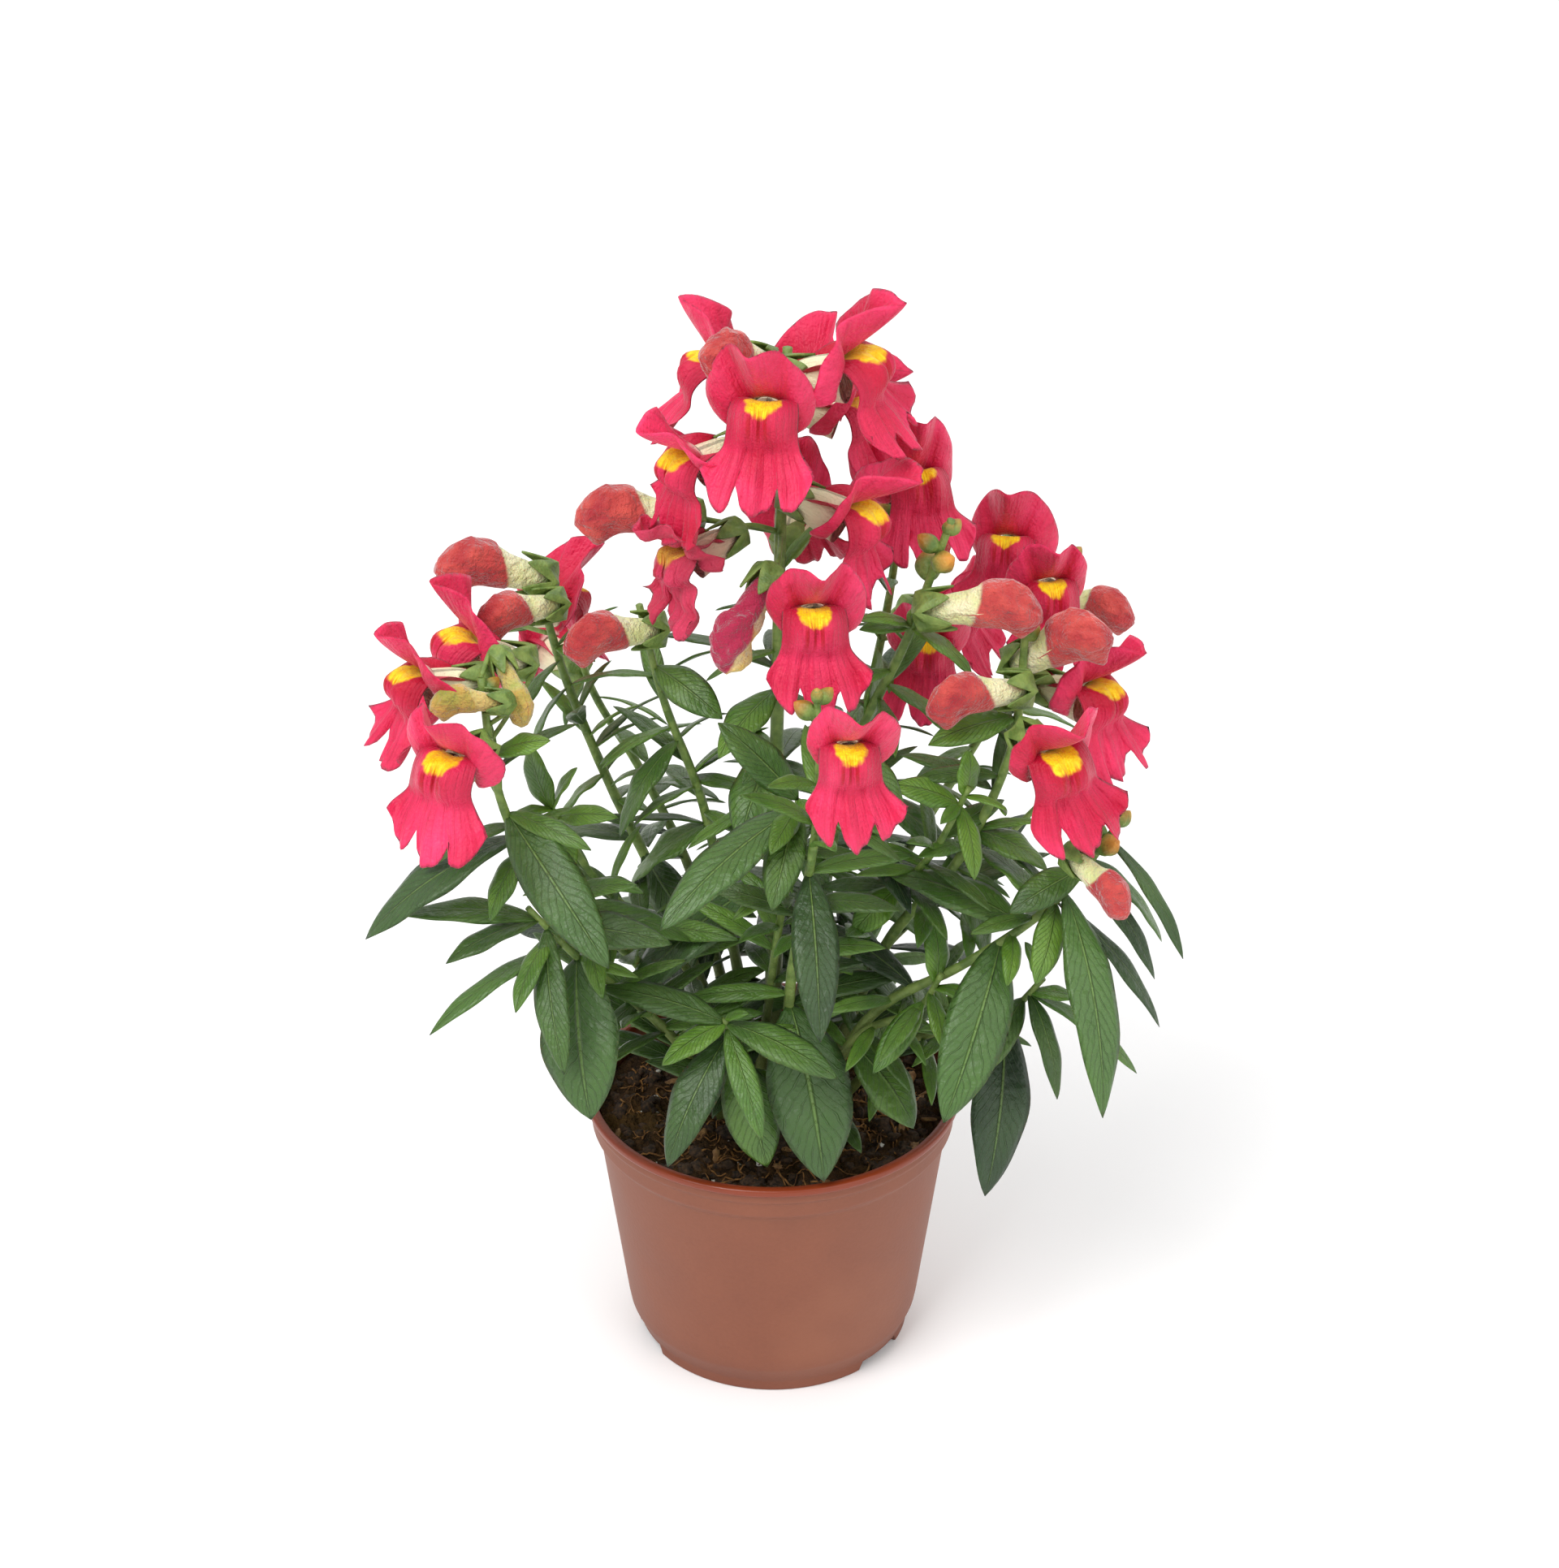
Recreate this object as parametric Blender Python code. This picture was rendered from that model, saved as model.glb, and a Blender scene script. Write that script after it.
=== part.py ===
# Snapdragon in its plastic nursery pot: pot, soil, leafy stems, open blooms and closed buds.
# Lengths in the tables are millimetres; every mesh is scaled to metres when it is made.
# The tables are measured from the pot's axis at its foot, +Z up and the front towards -Y; the
# finished part is then moved so that its bounding box is centred on the origin.

import math
import random

import bmesh
import bpy
import numpy as np
from mathutils import Matrix, Vector
from mathutils.bvhtree import BVHTree

MM = 0.001
TINY_EDGE = 0.003
FUSE_NUDGE = 0.03
FUSE_TRIES = 12
CLEAR = 0.35  # gap kept between two pieces that touch on the real plant

# The pot: a standard 105 mm nursery pot, 78 mm tall
POT_RIM_R = 52.5
POT_HEIGHT = 78.0
POT_WALL = 1.1
POT_SIDES = 32
BAND_HEIGHT = 10.5
BAND_STEP = 1.9
LIP_HEIGHT = 2.6
LIP_OUT = 1.9
WALL_BOTTOM_R = 41.5
WALL_BOTTOM_Z = 12.0
FOOT_R = 38.5
FOOT_HEIGHT = 3.2
FOOT_WIDTH = 3.0
FOOT_NOTCHES = 3
FOOT_NOTCH_WIDTH = 16.0
FOOT_NOTCH_START = 82.0  # degrees from +X to the middle of the first notch
FLOOR_THICK = 1.6
HOLE_RING_R = 24.0
HOLE_R = 4.5
HOLES = 6

# The soil: a plug that fills the pot, with a lumpy top and a plain hole for each stem
SOIL_TOP_Z = 70.0
SOIL_LUMP = 1.6
SOIL_SIDES = 24
STEM_DEPTH = 9.0
STEM_BENDS = 6
STEM_SIDES = 4

# Places on the plant are read off the front view: x and y of a point in the photograph's
# 1920 x 1931 pixel frame, and how far back of the pot's axis it lies. These values, the
# place and aim of the camera, turn such a place into the row frame.
EYE = Vector((1.9, -850.0, 647.1))
EYE_PITCH = math.radians(29.15)
EYE_FOCUS_PX = 4502.0
VIEW_MIDDLE_PX = (960.0, 965.5)

UP = Vector((0, 0, 1))
AHEAD = Vector((0, math.cos(EYE_PITCH), -math.sin(EYE_PITCH)))
VIEW_UP = Vector((0, math.sin(EYE_PITCH), math.cos(EYE_PITCH)))


def sight(x_px, y_px):
    """The line of sight through a pixel, one unit deep."""
    across = (x_px - VIEW_MIDDLE_PX[0]) / EYE_FOCUS_PX
    rise = (VIEW_MIDDLE_PX[1] - y_px) / EYE_FOCUS_PX
    return AHEAD + Vector((across, 0, 0)) + VIEW_UP * rise


def seen(x_px, y_px, back):
    """The point that shows at x_px, y_px and lies `back` mm behind the pot's axis."""
    line = sight(x_px, y_px)
    return EYE + line * ((back - EYE.y) / line.y)


def seen_beside(x_px, y_px, other, nearer):
    """The point that shows at x_px, y_px, `nearer` mm nearer to the viewer than another point."""
    return EYE + sight(x_px, y_px) * ((other - EYE).dot(AHEAD) - nearer)


def shown_at(point):
    """Where a point of the row frame shows in the front view, in pixels."""
    line = point - EYE
    depth = line.dot(AHEAD)
    return Vector((VIEW_MIDDLE_PX[0] + line.x / depth * EYE_FOCUS_PX,
                   VIEW_MIDDLE_PX[1] - line.dot(VIEW_UP) / depth * EYE_FOCUS_PX))


# Leafy stems: root is the plan place (x, y) in the soil, route the points that the stem
# passes (x_px, y_px, back), thick its diameter at the root and tip, and tips the small
# green buds round its end. Each leaf is (base_x_px, base_y_px, tip_x_px, tip_y_px, out,
# width): it grows from the stem's point nearest its base, and its tip lies `out` mm nearer
# to the viewer than a leaf flat in the picture would.
STEMS = {
    "stem_main": dict(
        root=(0, 0), thick=(5.0, 2.4), tips=5, back_leaves=8,
        route=[(953, 1150, 0), (957, 900, 2), (960, 700, 2), (964, 560, 2), (970, 428, 2)],
        leaves=[(925, 1085, 773, 1231, 16, 20), (950, 920, 912, 1037, 6, 16), (948, 850, 885, 935, 8, 12),
                (958, 1120, 1130, 1215, 4, 15), (957, 1010, 1040, 1110, -6, 12)],
    ),
    "stem_left_back": dict(
        root=(-9, 6), thick=(3.8, 2.0), tips=4, back_leaves=6,
        route=[(840, 1150, 15), (770, 1010, 25), (715, 880, 25), (680, 790, 22), (657, 700, 20)],
        leaves=[(680, 795, 733, 815, 4, 8), (765, 1060, 864, 1163, 10, 12), (745, 960, 690, 1010, 4, 9),
                (725, 905, 790, 868, 2, 9), (755, 985, 800, 1000, 2, 7), (700, 850, 655, 925, -4, 8)],
    ),
    "stem_left_front": dict(
        root=(-9, -5), thick=(3.8, 2.0), tips=4, back_leaves=3,
        route=[(800, 1200, -15), (690, 1110, -30), (625, 1010, -40), (604, 910, -40), (592, 835, -40)],
        leaves=[(618, 1005, 750, 1193, 14, 16), (604, 1060, 604, 1135, 3, 9), (612, 1042, 450, 1157, -4, 16),
                (600, 1030, 518, 1072, -3, 8), (608, 925, 678, 912, 2, 8)],
    ),
    "stem_left_mid": dict(
        root=(-4, 10), thick=(3.6, 1.9), tips=4, back_leaves=6,
        route=[(900, 1150, 8), (868, 1000, 10), (835, 900, 10), (805, 835, 8), (787, 745, 6)],
        leaves=[(822, 865, 876, 1003, 12, 12), (808, 815, 890, 885, 8, 11), (812, 850, 742, 882, 4, 7),
                (870, 1010, 776, 1090, -4, 18), (835, 905, 764, 1032, 6, 11), (830, 895, 738, 943, -2, 7)],
    ),
    "stem_right_mid": dict(
        root=(7, 4), thick=(4.2, 2.0), tips=5, back_leaves=5,
        route=[(1000, 1200, 2), (1040, 960, 0), (1085, 838, -4), (1130, 765, -6), (1172, 640, -8)],
        leaves=[(1045, 890, 1078, 800, 6, 9), (1128, 765, 1058, 776, 6, 6), (1133, 775, 1197, 832, 6, 9),
                (1085, 845, 1186, 915, 4, 10), (1045, 960, 1190, 1063, 10, 12), (1035, 1000, 1155, 1128, 16, 12),
                (1020, 1080, 1138, 1158, 2, 11)],
    ),
    "stem_back_right": dict(
        root=(4, 11), thick=(3.6, 1.9), tips=4, back_leaves=6,
        route=[(1010, 1100, 30), (1060, 900, 45), (1090, 760, 52), (1105, 680, 50), (1112, 600, 46)],
        leaves=[(1085, 780, 1030, 730, -2, 7), (1075, 830, 1150, 850, 2, 9)],
    ),
    "stem_right_front": dict(
        root=(12, -2), thick=(3.8, 2.0), tips=4, back_leaves=4,
        route=[(1080, 1180, -10), (1180, 1060, -20), (1235, 950, -18), (1258, 870, -14), (1264, 770, -12)],
        leaves=[(1250, 880, 1143, 918, 4, 10), (1225, 965, 1108, 930, -2, 9), (1205, 1020, 1290, 1072, 6, 13),
                (1170, 1070, 1216, 1185, -4, 10), (1240, 935, 1300, 905, -4, 7)],
    ),
    "stem_right_back": dict(
        root=(10, 8), thick=(3.6, 1.9), tips=4, back_leaves=6,
        route=[(1060, 1150, 25), (1180, 950, 50), (1260, 820, 58), (1300, 740, 60), (1322, 675, 60)],
        leaves=[(1230, 870, 1330, 900, 0, 10)],
    ),
    "stem_right_low": dict(
        root=(13, -8), thick=(3.6, 1.8), tips=5, back_leaves=2,
        route=[(1060, 1260, -25), (1200, 1180, -35), (1300, 1110, -35), (1350, 1050, -32), (1385, 1005, -30)],
        leaves=[(1335, 1072, 1242, 1125, 6, 10), (1300, 1112, 1275, 1213, 8, 9), (1372, 1035, 1457, 1181, 4, 7),
                (1312, 1100, 1358, 1377, 10, 15), (1335, 1075, 1422, 1206, -2, 8), (1345, 1060, 1431, 1160, -12, 9),
                (1240, 1160, 1162, 1383, 8, 18), (1262, 1135, 1105, 1055, -6, 14), (1255, 1150, 1240, 1215, 8, 6),
                (1290, 1115, 1205, 1045, -12, 12), (1300, 1110, 1428, 1265, -10, 8)],
    ),
    "stem_front": dict(
        root=(3, -9), thick=(3.6, 1.8), tips=3, back_leaves=0,
        route=[(975, 1200, -30), (1000, 1060, -45), (1010, 960, -48), (1012, 900, -50), (1006, 850, -50)],
        leaves=[(1003, 1080, 1010, 1284, 14, 13), (1013, 905, 1115, 1000, -6, 12), (1008, 990, 1098, 1030, 0, 8),
                (968, 1240, 1015, 1455, 3, 24)],
    ),
    "stem_back_left": dict(
        root=(-8, 12), thick=(3.6, 1.8), tips=4, back_leaves=6,
        route=[(860, 1100, 40), (790, 950, 60), (730, 850, 62), (705, 790, 60), (700, 735, 58)],
        leaves=[],
    ),
    "shoot_left_low": dict(
        root=(-14, -6), thick=(3.4, 1.6), tips=0, back_leaves=1,
        route=[(840, 1290, -22), (740, 1200, -35), (668, 1150, -42), (650, 1118, -42)],
        leaves=[(655, 1138, 495, 1128, -2, 9), (655, 1142, 549, 1187, 6, 9), (690, 1165, 529, 1275, 8, 8),
                (672, 1152, 636, 1251, 8, 8), (663, 1146, 695, 1321, 10, 10), (672, 1148, 828, 1163, 8, 11),
                (712, 1180, 728, 1379, 4, 23)],
    ),
    "shoot_front": dict(
        root=(-3, -13), thick=(3.2, 1.6), tips=0, back_leaves=0,
        route=[(915, 1330, -30), (897, 1285, -38), (893, 1255, -40)],
        leaves=[(893, 1256, 951, 1158, 2, 9.5), (890, 1262, 815, 1312, 5, 9), (893, 1262, 1032, 1329, 8, 11),
                (893, 1266, 939, 1405, 8, 8), (893, 1275, 822, 1437, 2, 13.5), (895, 1262, 735, 1222, -2, 10),
                (893, 1256, 925, 1250, 6, 3.5), (905, 1300, 945, 1437, -3, 16), (900, 1300, 872, 1425, -4, 12)],
    ),
    "shoot_centre": dict(
        root=(-5, -6), thick=(3.2, 1.6), tips=0, back_leaves=0,
        route=[(955, 1170, -22), (976, 1050, -30), (983, 985, -34)],
        leaves=[(983, 988, 884, 890, 6, 11), (975, 1000, 813, 1146, 15, 15), (983, 995, 972, 1125, 9, 11),
                (983, 992, 948, 1058, 12, 7), (983, 985, 1010, 1020, 10, 6)],
    ),
    "shoot_right_low": dict(
        root=(9, -13), thick=(3.2, 1.6), tips=0, back_leaves=1,
        route=[(1040, 1290, -25), (1110, 1250, -32), (1156, 1234, -36), (1160, 1200, -37)],
        leaves=[(1157, 1215, 1147, 1130, 1, 9.5), (1150, 1240, 1075, 1322, 5, 8), (1157, 1234, 1161, 1292, 6, 6),
                (1157, 1225, 1215, 1235, 2, 6), (1050, 1288, 1125, 1390, 4, 16)],
    ),
    "shoot_right_far": dict(
        root=(17, -3), thick=(3.2, 1.6), tips=0, back_leaves=2,
        route=[(1100, 1290, -15), (1200, 1260, -28), (1272, 1240, -34), (1285, 1205, -34)],
        leaves=[(1270, 1240, 1190, 1335, 7, 10), (1280, 1240, 1302, 1354, 6, 8), (1240, 1250, 1213, 1473, 4, 17),
                (1280, 1232, 1335, 1232, 2, 6), (1278, 1236, 1400, 1322, -8, 8), (1283, 1215, 1262, 1160, 4, 7)],
    ),
    "shoot_left_mid": dict(
        root=(-14, 2), thick=(3.2, 1.6), tips=0, back_leaves=2,
        route=[(850, 1200, -5), (760, 1110, -15), (698, 1040, -20), (681, 998, -22)],
        leaves=[(681, 1003, 652, 913, 4, 8.5), (682, 1003, 711, 945, 6, 6), (681, 1003, 633, 1003, 5, 5),
                (683, 1005, 761, 1007, 8, 7), (682, 1020, 704, 1092, 8, 8), (735, 1080, 741, 1140, 8, 12)],
    ),
    "shoot_right_mid": dict(
        root=(6, -5), thick=(3.2, 1.6), tips=0, back_leaves=1,
        route=[(1050, 1160, -12), (1150, 1050, -26), (1190, 998, -30), (1194, 970, -30)],
        leaves=[(1192, 988, 1192, 925, 3, 9), (1193, 995, 1200, 1084, 7, 7.5), (1185, 998, 1100, 967, 3, 10),
                (1194, 985, 1240, 998, 5, 4), (1188, 998, 1158, 1015, 8, 4), (1110, 1100, 1050, 1150, 4, 10)],
    ),
    "shoot_back": dict(
        root=(0, 16), thick=(3.4, 1.6), tips=0, back_leaves=7,
        route=[(960, 1100, 45), (955, 950, 70), (958, 870, 78)],
        leaves=[],
    ),
    "shoot_back_far_right": dict(
        root=(15, 10), thick=(3.4, 1.6), tips=0, back_leaves=6,
        route=[(1080, 1180, 25), (1210, 1060, 45), (1290, 980, 52)],
        leaves=[],
    ),
}

# Open blooms: the stem, where the throat shows (x_px, y_px, back), the way it faces as
# (azimuth, pitch, roll) in degrees, with azimuth 0 to the viewer and 90 to the right, and
# its height from the tip of the upper lip to the tip of the lower one.
BLOOMS = {
    "bloom_top_left": ("stem_main", (868, 472, 8), (-95, 14, 0), 36),
    "bloom_top_centre": ("stem_main", (940, 530, -26), (-8, 6, 0), 39),
    "bloom_upper_left": ("stem_main", (846, 584, -20), (-62, -18, 8), 34),
    "bloom_faded_left": ("stem_main", (842, 700, -18), (-58, -22, 0), 33),
    "bloom_top_right": ("stem_main", (1060, 468, -6), (72, 4, -6), 40),
    "bloom_top_right_under": ("stem_main", (1046, 522, 20), (78, -14, 0), 34),
    "bloom_mid_right": ("stem_main", (1052, 652, -14), (64, -20, 0), 38),
    "bloom_main_back": ("stem_main", (985, 640, 32), (168, -4, 0), 34),
    "bloom_top_back": ("stem_main", (1008, 474, 30), (150, 0, 0), 30),
    "bloom_centre": ("stem_main", (1003, 782, -34), (6, 0, 0), 37),
    "bloom_left_upper": ("stem_left_front", (566, 812, -26), (-58, 14, 6), 37),
    "bloom_left_outer": ("stem_left_front", (512, 856, -40), (-66, -2, 0), 35),
    "bloom_left_front": ("stem_left_front", (548, 962, -66), (-24, 0, 6), 37),
    "bloom_left_behind": ("stem_left_back", (694, 748, 42), (120, -6, 0), 33),
    "bloom_back_tall": ("stem_back_right", (1132, 612, 30), (16, 16, 0), 37),
    "bloom_back_right": ("stem_right_back", (1238, 690, 48), (-10, 16, 0), 35),
    "bloom_right_upper": ("stem_right_back", (1294, 744, 36), (10, 2, 0), 33),
    "bloom_right_outer": ("stem_right_front", (1350, 872, -4), (50, -3, 2), 37),
    "bloom_right_front": ("stem_right_front", (1306, 955, -44), (26, -8, -12), 38),
    "bloom_front": ("stem_front", (1046, 948, -74), (6, -4, 0), 34),
    "bloom_back_low": ("stem_back_right", (1142, 812, 38), (-6, 0, 0), 33),
    "bloom_back_side": ("stem_back_right", (1186, 762, 56), (70, 0, 0), 33),
    "bloom_back_left": ("stem_back_left", (668, 800, 78), (-140, 0, 0), 33),
}

# Closed buds with a pale tube and a folded cap, placed and turned as the blooms are; the
# place is the middle of the cap, and the size is the length from calyx to cap.
BUDS = {
    "bud_top": ("stem_main", (893, 432, -14), (-50, 28, 0), 25),
    "bud_upper_left": ("stem_main", (752, 628, -8), (-82, 10, 0), 30),
    "bud_withered": ("stem_main", (902, 788, -30), (-42, -42, 0), 27),
    "bud_left_large": ("stem_left_back", (580, 692, 10), (-72, 22, 0), 30),
    "bud_left_small": ("stem_left_back", (616, 756, 6), (-52, 8, 0), 25),
    "bud_left_tip": ("stem_left_front", (556, 862, -46), (-76, 10, 0), 18),
    "bud_left_green": ("stem_left_front", (640, 868, -42), (35, -48, 0), 18),
    "bud_mid_left": ("stem_left_mid", (730, 782, -8), (-58, 10, 0), 27),
    "bud_back": ("stem_back_right", (1148, 660, 26), (30, 10, 0), 23),
    "bud_right_far": ("stem_right_back", (1366, 748, 48), (56, 8, 0), 25),
    "bud_right_long": ("stem_right_mid", (1240, 745, -14), (78, 10, 0), 30),
    "bud_right_tall": ("stem_right_front", (1326, 782, -16), (58, 38, 0), 31),
    "bud_right_inner": ("stem_right_front", (1178, 858, -26), (-66, 6, 0), 27),
    "bud_right_low": ("stem_right_low", (1370, 1100, -52), (40, -16, 0), 22),
}

# Looks that the solids carry
COLOURS = {
    "pot": ((0.36, 0.115, 0.055, 1), 0.5),
    "soil": ((0.035, 0.02, 0.011, 1), 0.95),
    "leaf": ((0.05, 0.13, 0.03, 1), 0.55),
    "petal": ((0.8, 0.03, 0.10, 1), 0.5),
    "bud": ((0.55, 0.10, 0.08, 1), 0.6),
}

# Leaf shape: the share of the full width at each step from base to tip
LEAF_STEPS = (0.0, 0.2, 0.5, 0.78, 1.0)
LEAF_WIDTHS = (0.10, 0.66, 1.0, 0.62, 0.0)
LARGE_LEAF = 45.0
SMALL_LEAF = 26.0
LEAF_THICK = 0.9
LEAF_KEEL = 0.10
LEAF_ARCH = 0.16
BACK_LEAF_LENGTH = (34.0, 52.0)
BACK_LEAF_WIDTH = 0.27
GOLDEN_TURN = math.radians(137.5)

# Bloom proportions, for a bloom BLOOM_SIZE tall
BLOOM_SIZE = 38.0
THROAT_X = 17.0
THROAT_R = 6.0
TUBE_RINGS = ((0.0, 2.4, 0.0), (2.5, 3.5, 0.0), (8.0, 4.9, 0.2), (15.0, THROAT_R, 0.4))
PETAL_THICK = 1.1
UPPER_LOBE = 20.0
UPPER_COLUMNS = (-1.0, -0.6, -0.25, 0.0, 0.25, 0.6, 1.0)
# The lower lip from throat to rim: share of its length, forward, height and half width
PALATE_STEPS = (0.0, 0.34, 0.66, 1.0)
PALATE_AHEAD = (12.0, 23.5, 24.2, 30.0)
PALATE_HEIGHT = (3.0, 6.4, -5.0, -17.0)
PALATE_HALF = (4.2, 8.2, 9.4, 14.0)
LOWER_COLUMNS = (-1.0, -0.68, -0.36, 0.0, 0.36, 0.68, 1.0)

# Bud proportions, for a bud BUD_SIZE long
BUD_SIZE = 28.0
BUD_REACH = 20.0
BUD_RINGS = ((0.0, 2.4, 2.4, 0.0), (3.5, 3.4, 3.6, -0.2), (11.0, 3.9, 4.6, 0.0), (16.5, 4.7, 5.8, 0.5),
             (22.0, 4.6, 6.0, -0.2), (28.0, 1.6, 2.8, -3.0))
BUD_BEAK = (22.0, -8.5)

CALYX_R = 5.2
CALYX_LENGTH = 6.5
CALYX_FLOOR = 3.0
SEPALS = 5
PEDICEL_R = 0.8
FLOWER_ROOM = 1.05
DEPTH_SHIFTS = (0, 2, -2, 4, -4, 7, -7, 10, -10, 14, -14)
FLOWER_SHIFTS = [(shift, swing) for swing in (0, 8, -8, 16, -16) for shift in DEPTH_SHIFTS]


def clear_scene():
    for obj in list(bpy.data.objects):
        bpy.data.objects.remove(obj)


def material(name):
    found = bpy.data.materials.get(name)
    if found:
        return found
    colour, roughness = COLOURS[name]
    made = bpy.data.materials.new(name)
    made.use_nodes = True
    shader = made.node_tree.nodes["Principled BSDF"]
    shader.inputs["Base Color"].default_value = colour
    shader.inputs["Roughness"].default_value = roughness
    shader.inputs["Metallic"].default_value = 0.0
    return made


def add_object(name, shape, colour, smooth=True):
    """A mesh object from (points in mm, faces)."""
    points, faces = shape
    mesh = bpy.data.meshes.new(name)
    mesh.from_pydata([tuple(Vector(p) * MM) for p in points], [], faces)
    mesh.update()
    if smooth:
        mesh.shade_smooth()
        mesh.set_sharp_from_angle(angle=math.radians(40))
    mesh.materials.append(material(colour))
    obj = bpy.data.objects.new(name, mesh)
    bpy.context.scene.collection.objects.link(obj)
    return obj


def join_solids(name, shapes, colour):
    """One object: the Boolean union of several closed shapes, which grow into one another."""
    base = add_object(name, shapes[0], colour)
    if len(shapes) == 1:
        return base
    first = base.data
    for attempt in range(FUSE_TRIES):
        base.data = first
        joined = fused(base, shapes[1:], colour, attempt * FUSE_NUDGE)
        if is_sound(joined):
            break
    else:
        print(name, "did not fuse cleanly")
    base.data = joined
    return base


def fused(base, shapes, colour, nudge):
    """The union of an object with more shapes, each first moved by up to `nudge` mm."""
    others = bpy.data.collections.new(base.name + "_joined")
    bpy.context.scene.collection.children.link(others)
    for i, (points, faces) in enumerate(shapes):
        aside = Vector((math.sin(i * 1.7), math.cos(i * 2.3), math.sin(i * 3.1 + 1))) * nudge
        piece = add_object(f"{base.name}_piece_{i}", ([p + aside for p in points], faces), colour)
        bpy.context.scene.collection.objects.unlink(piece)
        others.objects.link(piece)
    union = base.modifiers.new("Join", "BOOLEAN")
    union.operation = "UNION"
    union.operand_type = "COLLECTION"
    union.collection = others
    union.solver = "MANIFOLD"
    graph = bpy.context.evaluated_depsgraph_get()
    joined = bpy.data.meshes.new_from_object(base.evaluated_get(graph))
    base.modifiers.clear()
    keep_outer_shell(joined)
    for piece in list(others.objects):
        bpy.data.objects.remove(piece)
    bpy.data.collections.remove(others)
    return joined


def is_sound(mesh):
    """Whether every edge has two faces and no two corners share a place."""
    made = bmesh.new()
    made.from_mesh(mesh)
    paired = all(len(edge.link_faces) == 2 for edge in made.edges)
    places = [tuple(round(c / MM, 3) for c in vert.co) for vert in made.verts]
    made.free()
    return paired and len(set(places)) == len(places)


def keep_outer_shell(mesh):
    """Fill the hollows and drop the scraps that fusing leaves: only the largest shell stays."""
    made = bmesh.new()
    made.from_mesh(mesh)
    left, shells = set(made.verts), []
    while left:
        shell, front = set(), [left.pop()]
        while front:
            vert = front.pop()
            shell.add(vert)
            for edge in vert.link_edges:
                other = edge.other_vert(vert)
                if other in left:
                    left.remove(other)
                    front.append(other)
        shells.append(shell)
    shells.sort(key=len)
    for shell in shells[:-1]:
        bmesh.ops.delete(made, geom=sorted(shell, key=lambda v: v.index), context="VERTS")
    bmesh.ops.dissolve_degenerate(made, dist=TINY_EDGE * MM, edges=made.edges)
    bmesh.ops.triangulate(made, faces=made.faces, quad_method="BEAUTY", ngon_method="BEAUTY")
    made.to_mesh(mesh)
    made.free()


def smooth_route(points, steps):
    """Evenly spaced points on a smooth curve (Catmull-Rom) through the given points."""
    ends = [points[0] * 2 - points[1]] + points + [points[-1] * 2 - points[-2]]
    curve = []
    for a, b, c, d in zip(ends, ends[1:], ends[2:], ends[3:]):
        for k in range(12):
            t = k / 12
            curve.append(0.5 * ((2 * b) + (c - a) * t + (2 * a - 5 * b + 4 * c - d) * t ** 2
                                + (3 * b - a - 3 * c + d) * t ** 3))
    curve.append(points[-1])
    lengths = np.cumsum([0.0] + [(q - p).length for p, q in zip(curve, curve[1:])])
    even = []
    for at in np.linspace(0, lengths[-1], steps):
        i = min(int(np.searchsorted(lengths, at, side="right")) - 1, len(curve) - 2)
        share = (at - lengths[i]) / (lengths[i + 1] - lengths[i])
        even.append(curve[i].lerp(curve[i + 1], share))
    return even


def stem_route(spec):
    """The stem's bends, from the end in the soil to the tip."""
    root = Vector((spec["root"][0], spec["root"][1], SOIL_TOP_Z))
    above = smooth_route([root] + [seen(*place) for place in spec["route"]], STEM_BENDS)
    return [root - UP * STEM_DEPTH] + above


def fine(route):
    """Many points along the straight runs of a route, above the soil."""
    return [p.lerp(q, k / 8) for p, q in zip(route[1:], route[2:]) for k in range(8)] + [route[-1]]


def frame_along(tangent, reference):
    """Two unit vectors square to the tangent, the first one as near the reference as it can be."""
    up = reference - tangent * reference.dot(tangent)
    if up.length < 1e-4:
        up = tangent.orthogonal()
    up.normalize()
    return up, tangent.cross(up)


def tube(points, radii, sides):
    """A closed round tube along points."""
    verts, faces = [], []
    for i, p in enumerate(points):
        tangent = (points[min(i + 1, len(points) - 1)] - points[max(i - 1, 0)]).normalized()
        up, side = frame_along(tangent, Vector((0, 1, 0)))
        for k in range(sides):
            a = 2 * math.pi * k / sides
            verts.append(p + (up * math.cos(a) + side * math.sin(a)) * radii[i])
    for i in range(len(points) - 1):
        for k in range(sides):
            a, b = i * sides + k, i * sides + (k + 1) % sides
            faces.append((a, b, b + sides, a + sides))
    faces.append(tuple(reversed(range(sides))))
    last = (len(points) - 1) * sides
    faces.append(tuple(range(last, last + sides)))
    return verts, faces


def leaf_line(base, tip, arch):
    """The midrib as a quadratic arch from base to tip: a point and its tangent at share t."""
    chord = tip - base
    outward = Vector((tip.x, tip.y, 0))
    outward = outward.normalized() if outward.length > 1 else Vector((0, -1, 0))
    side = chord.cross(UP + outward * 0.6).normalized()
    normal = side.cross(chord).normalized()
    middle = (base + tip) / 2 + normal * (chord.length * arch)

    def at(t):
        point = base * (1 - t) ** 2 + middle * (2 * t * (1 - t)) + tip * t ** 2
        tangent = ((middle - base) * (1 - t) + (tip - middle) * t).normalized()
        return point, tangent

    return at, side


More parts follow.
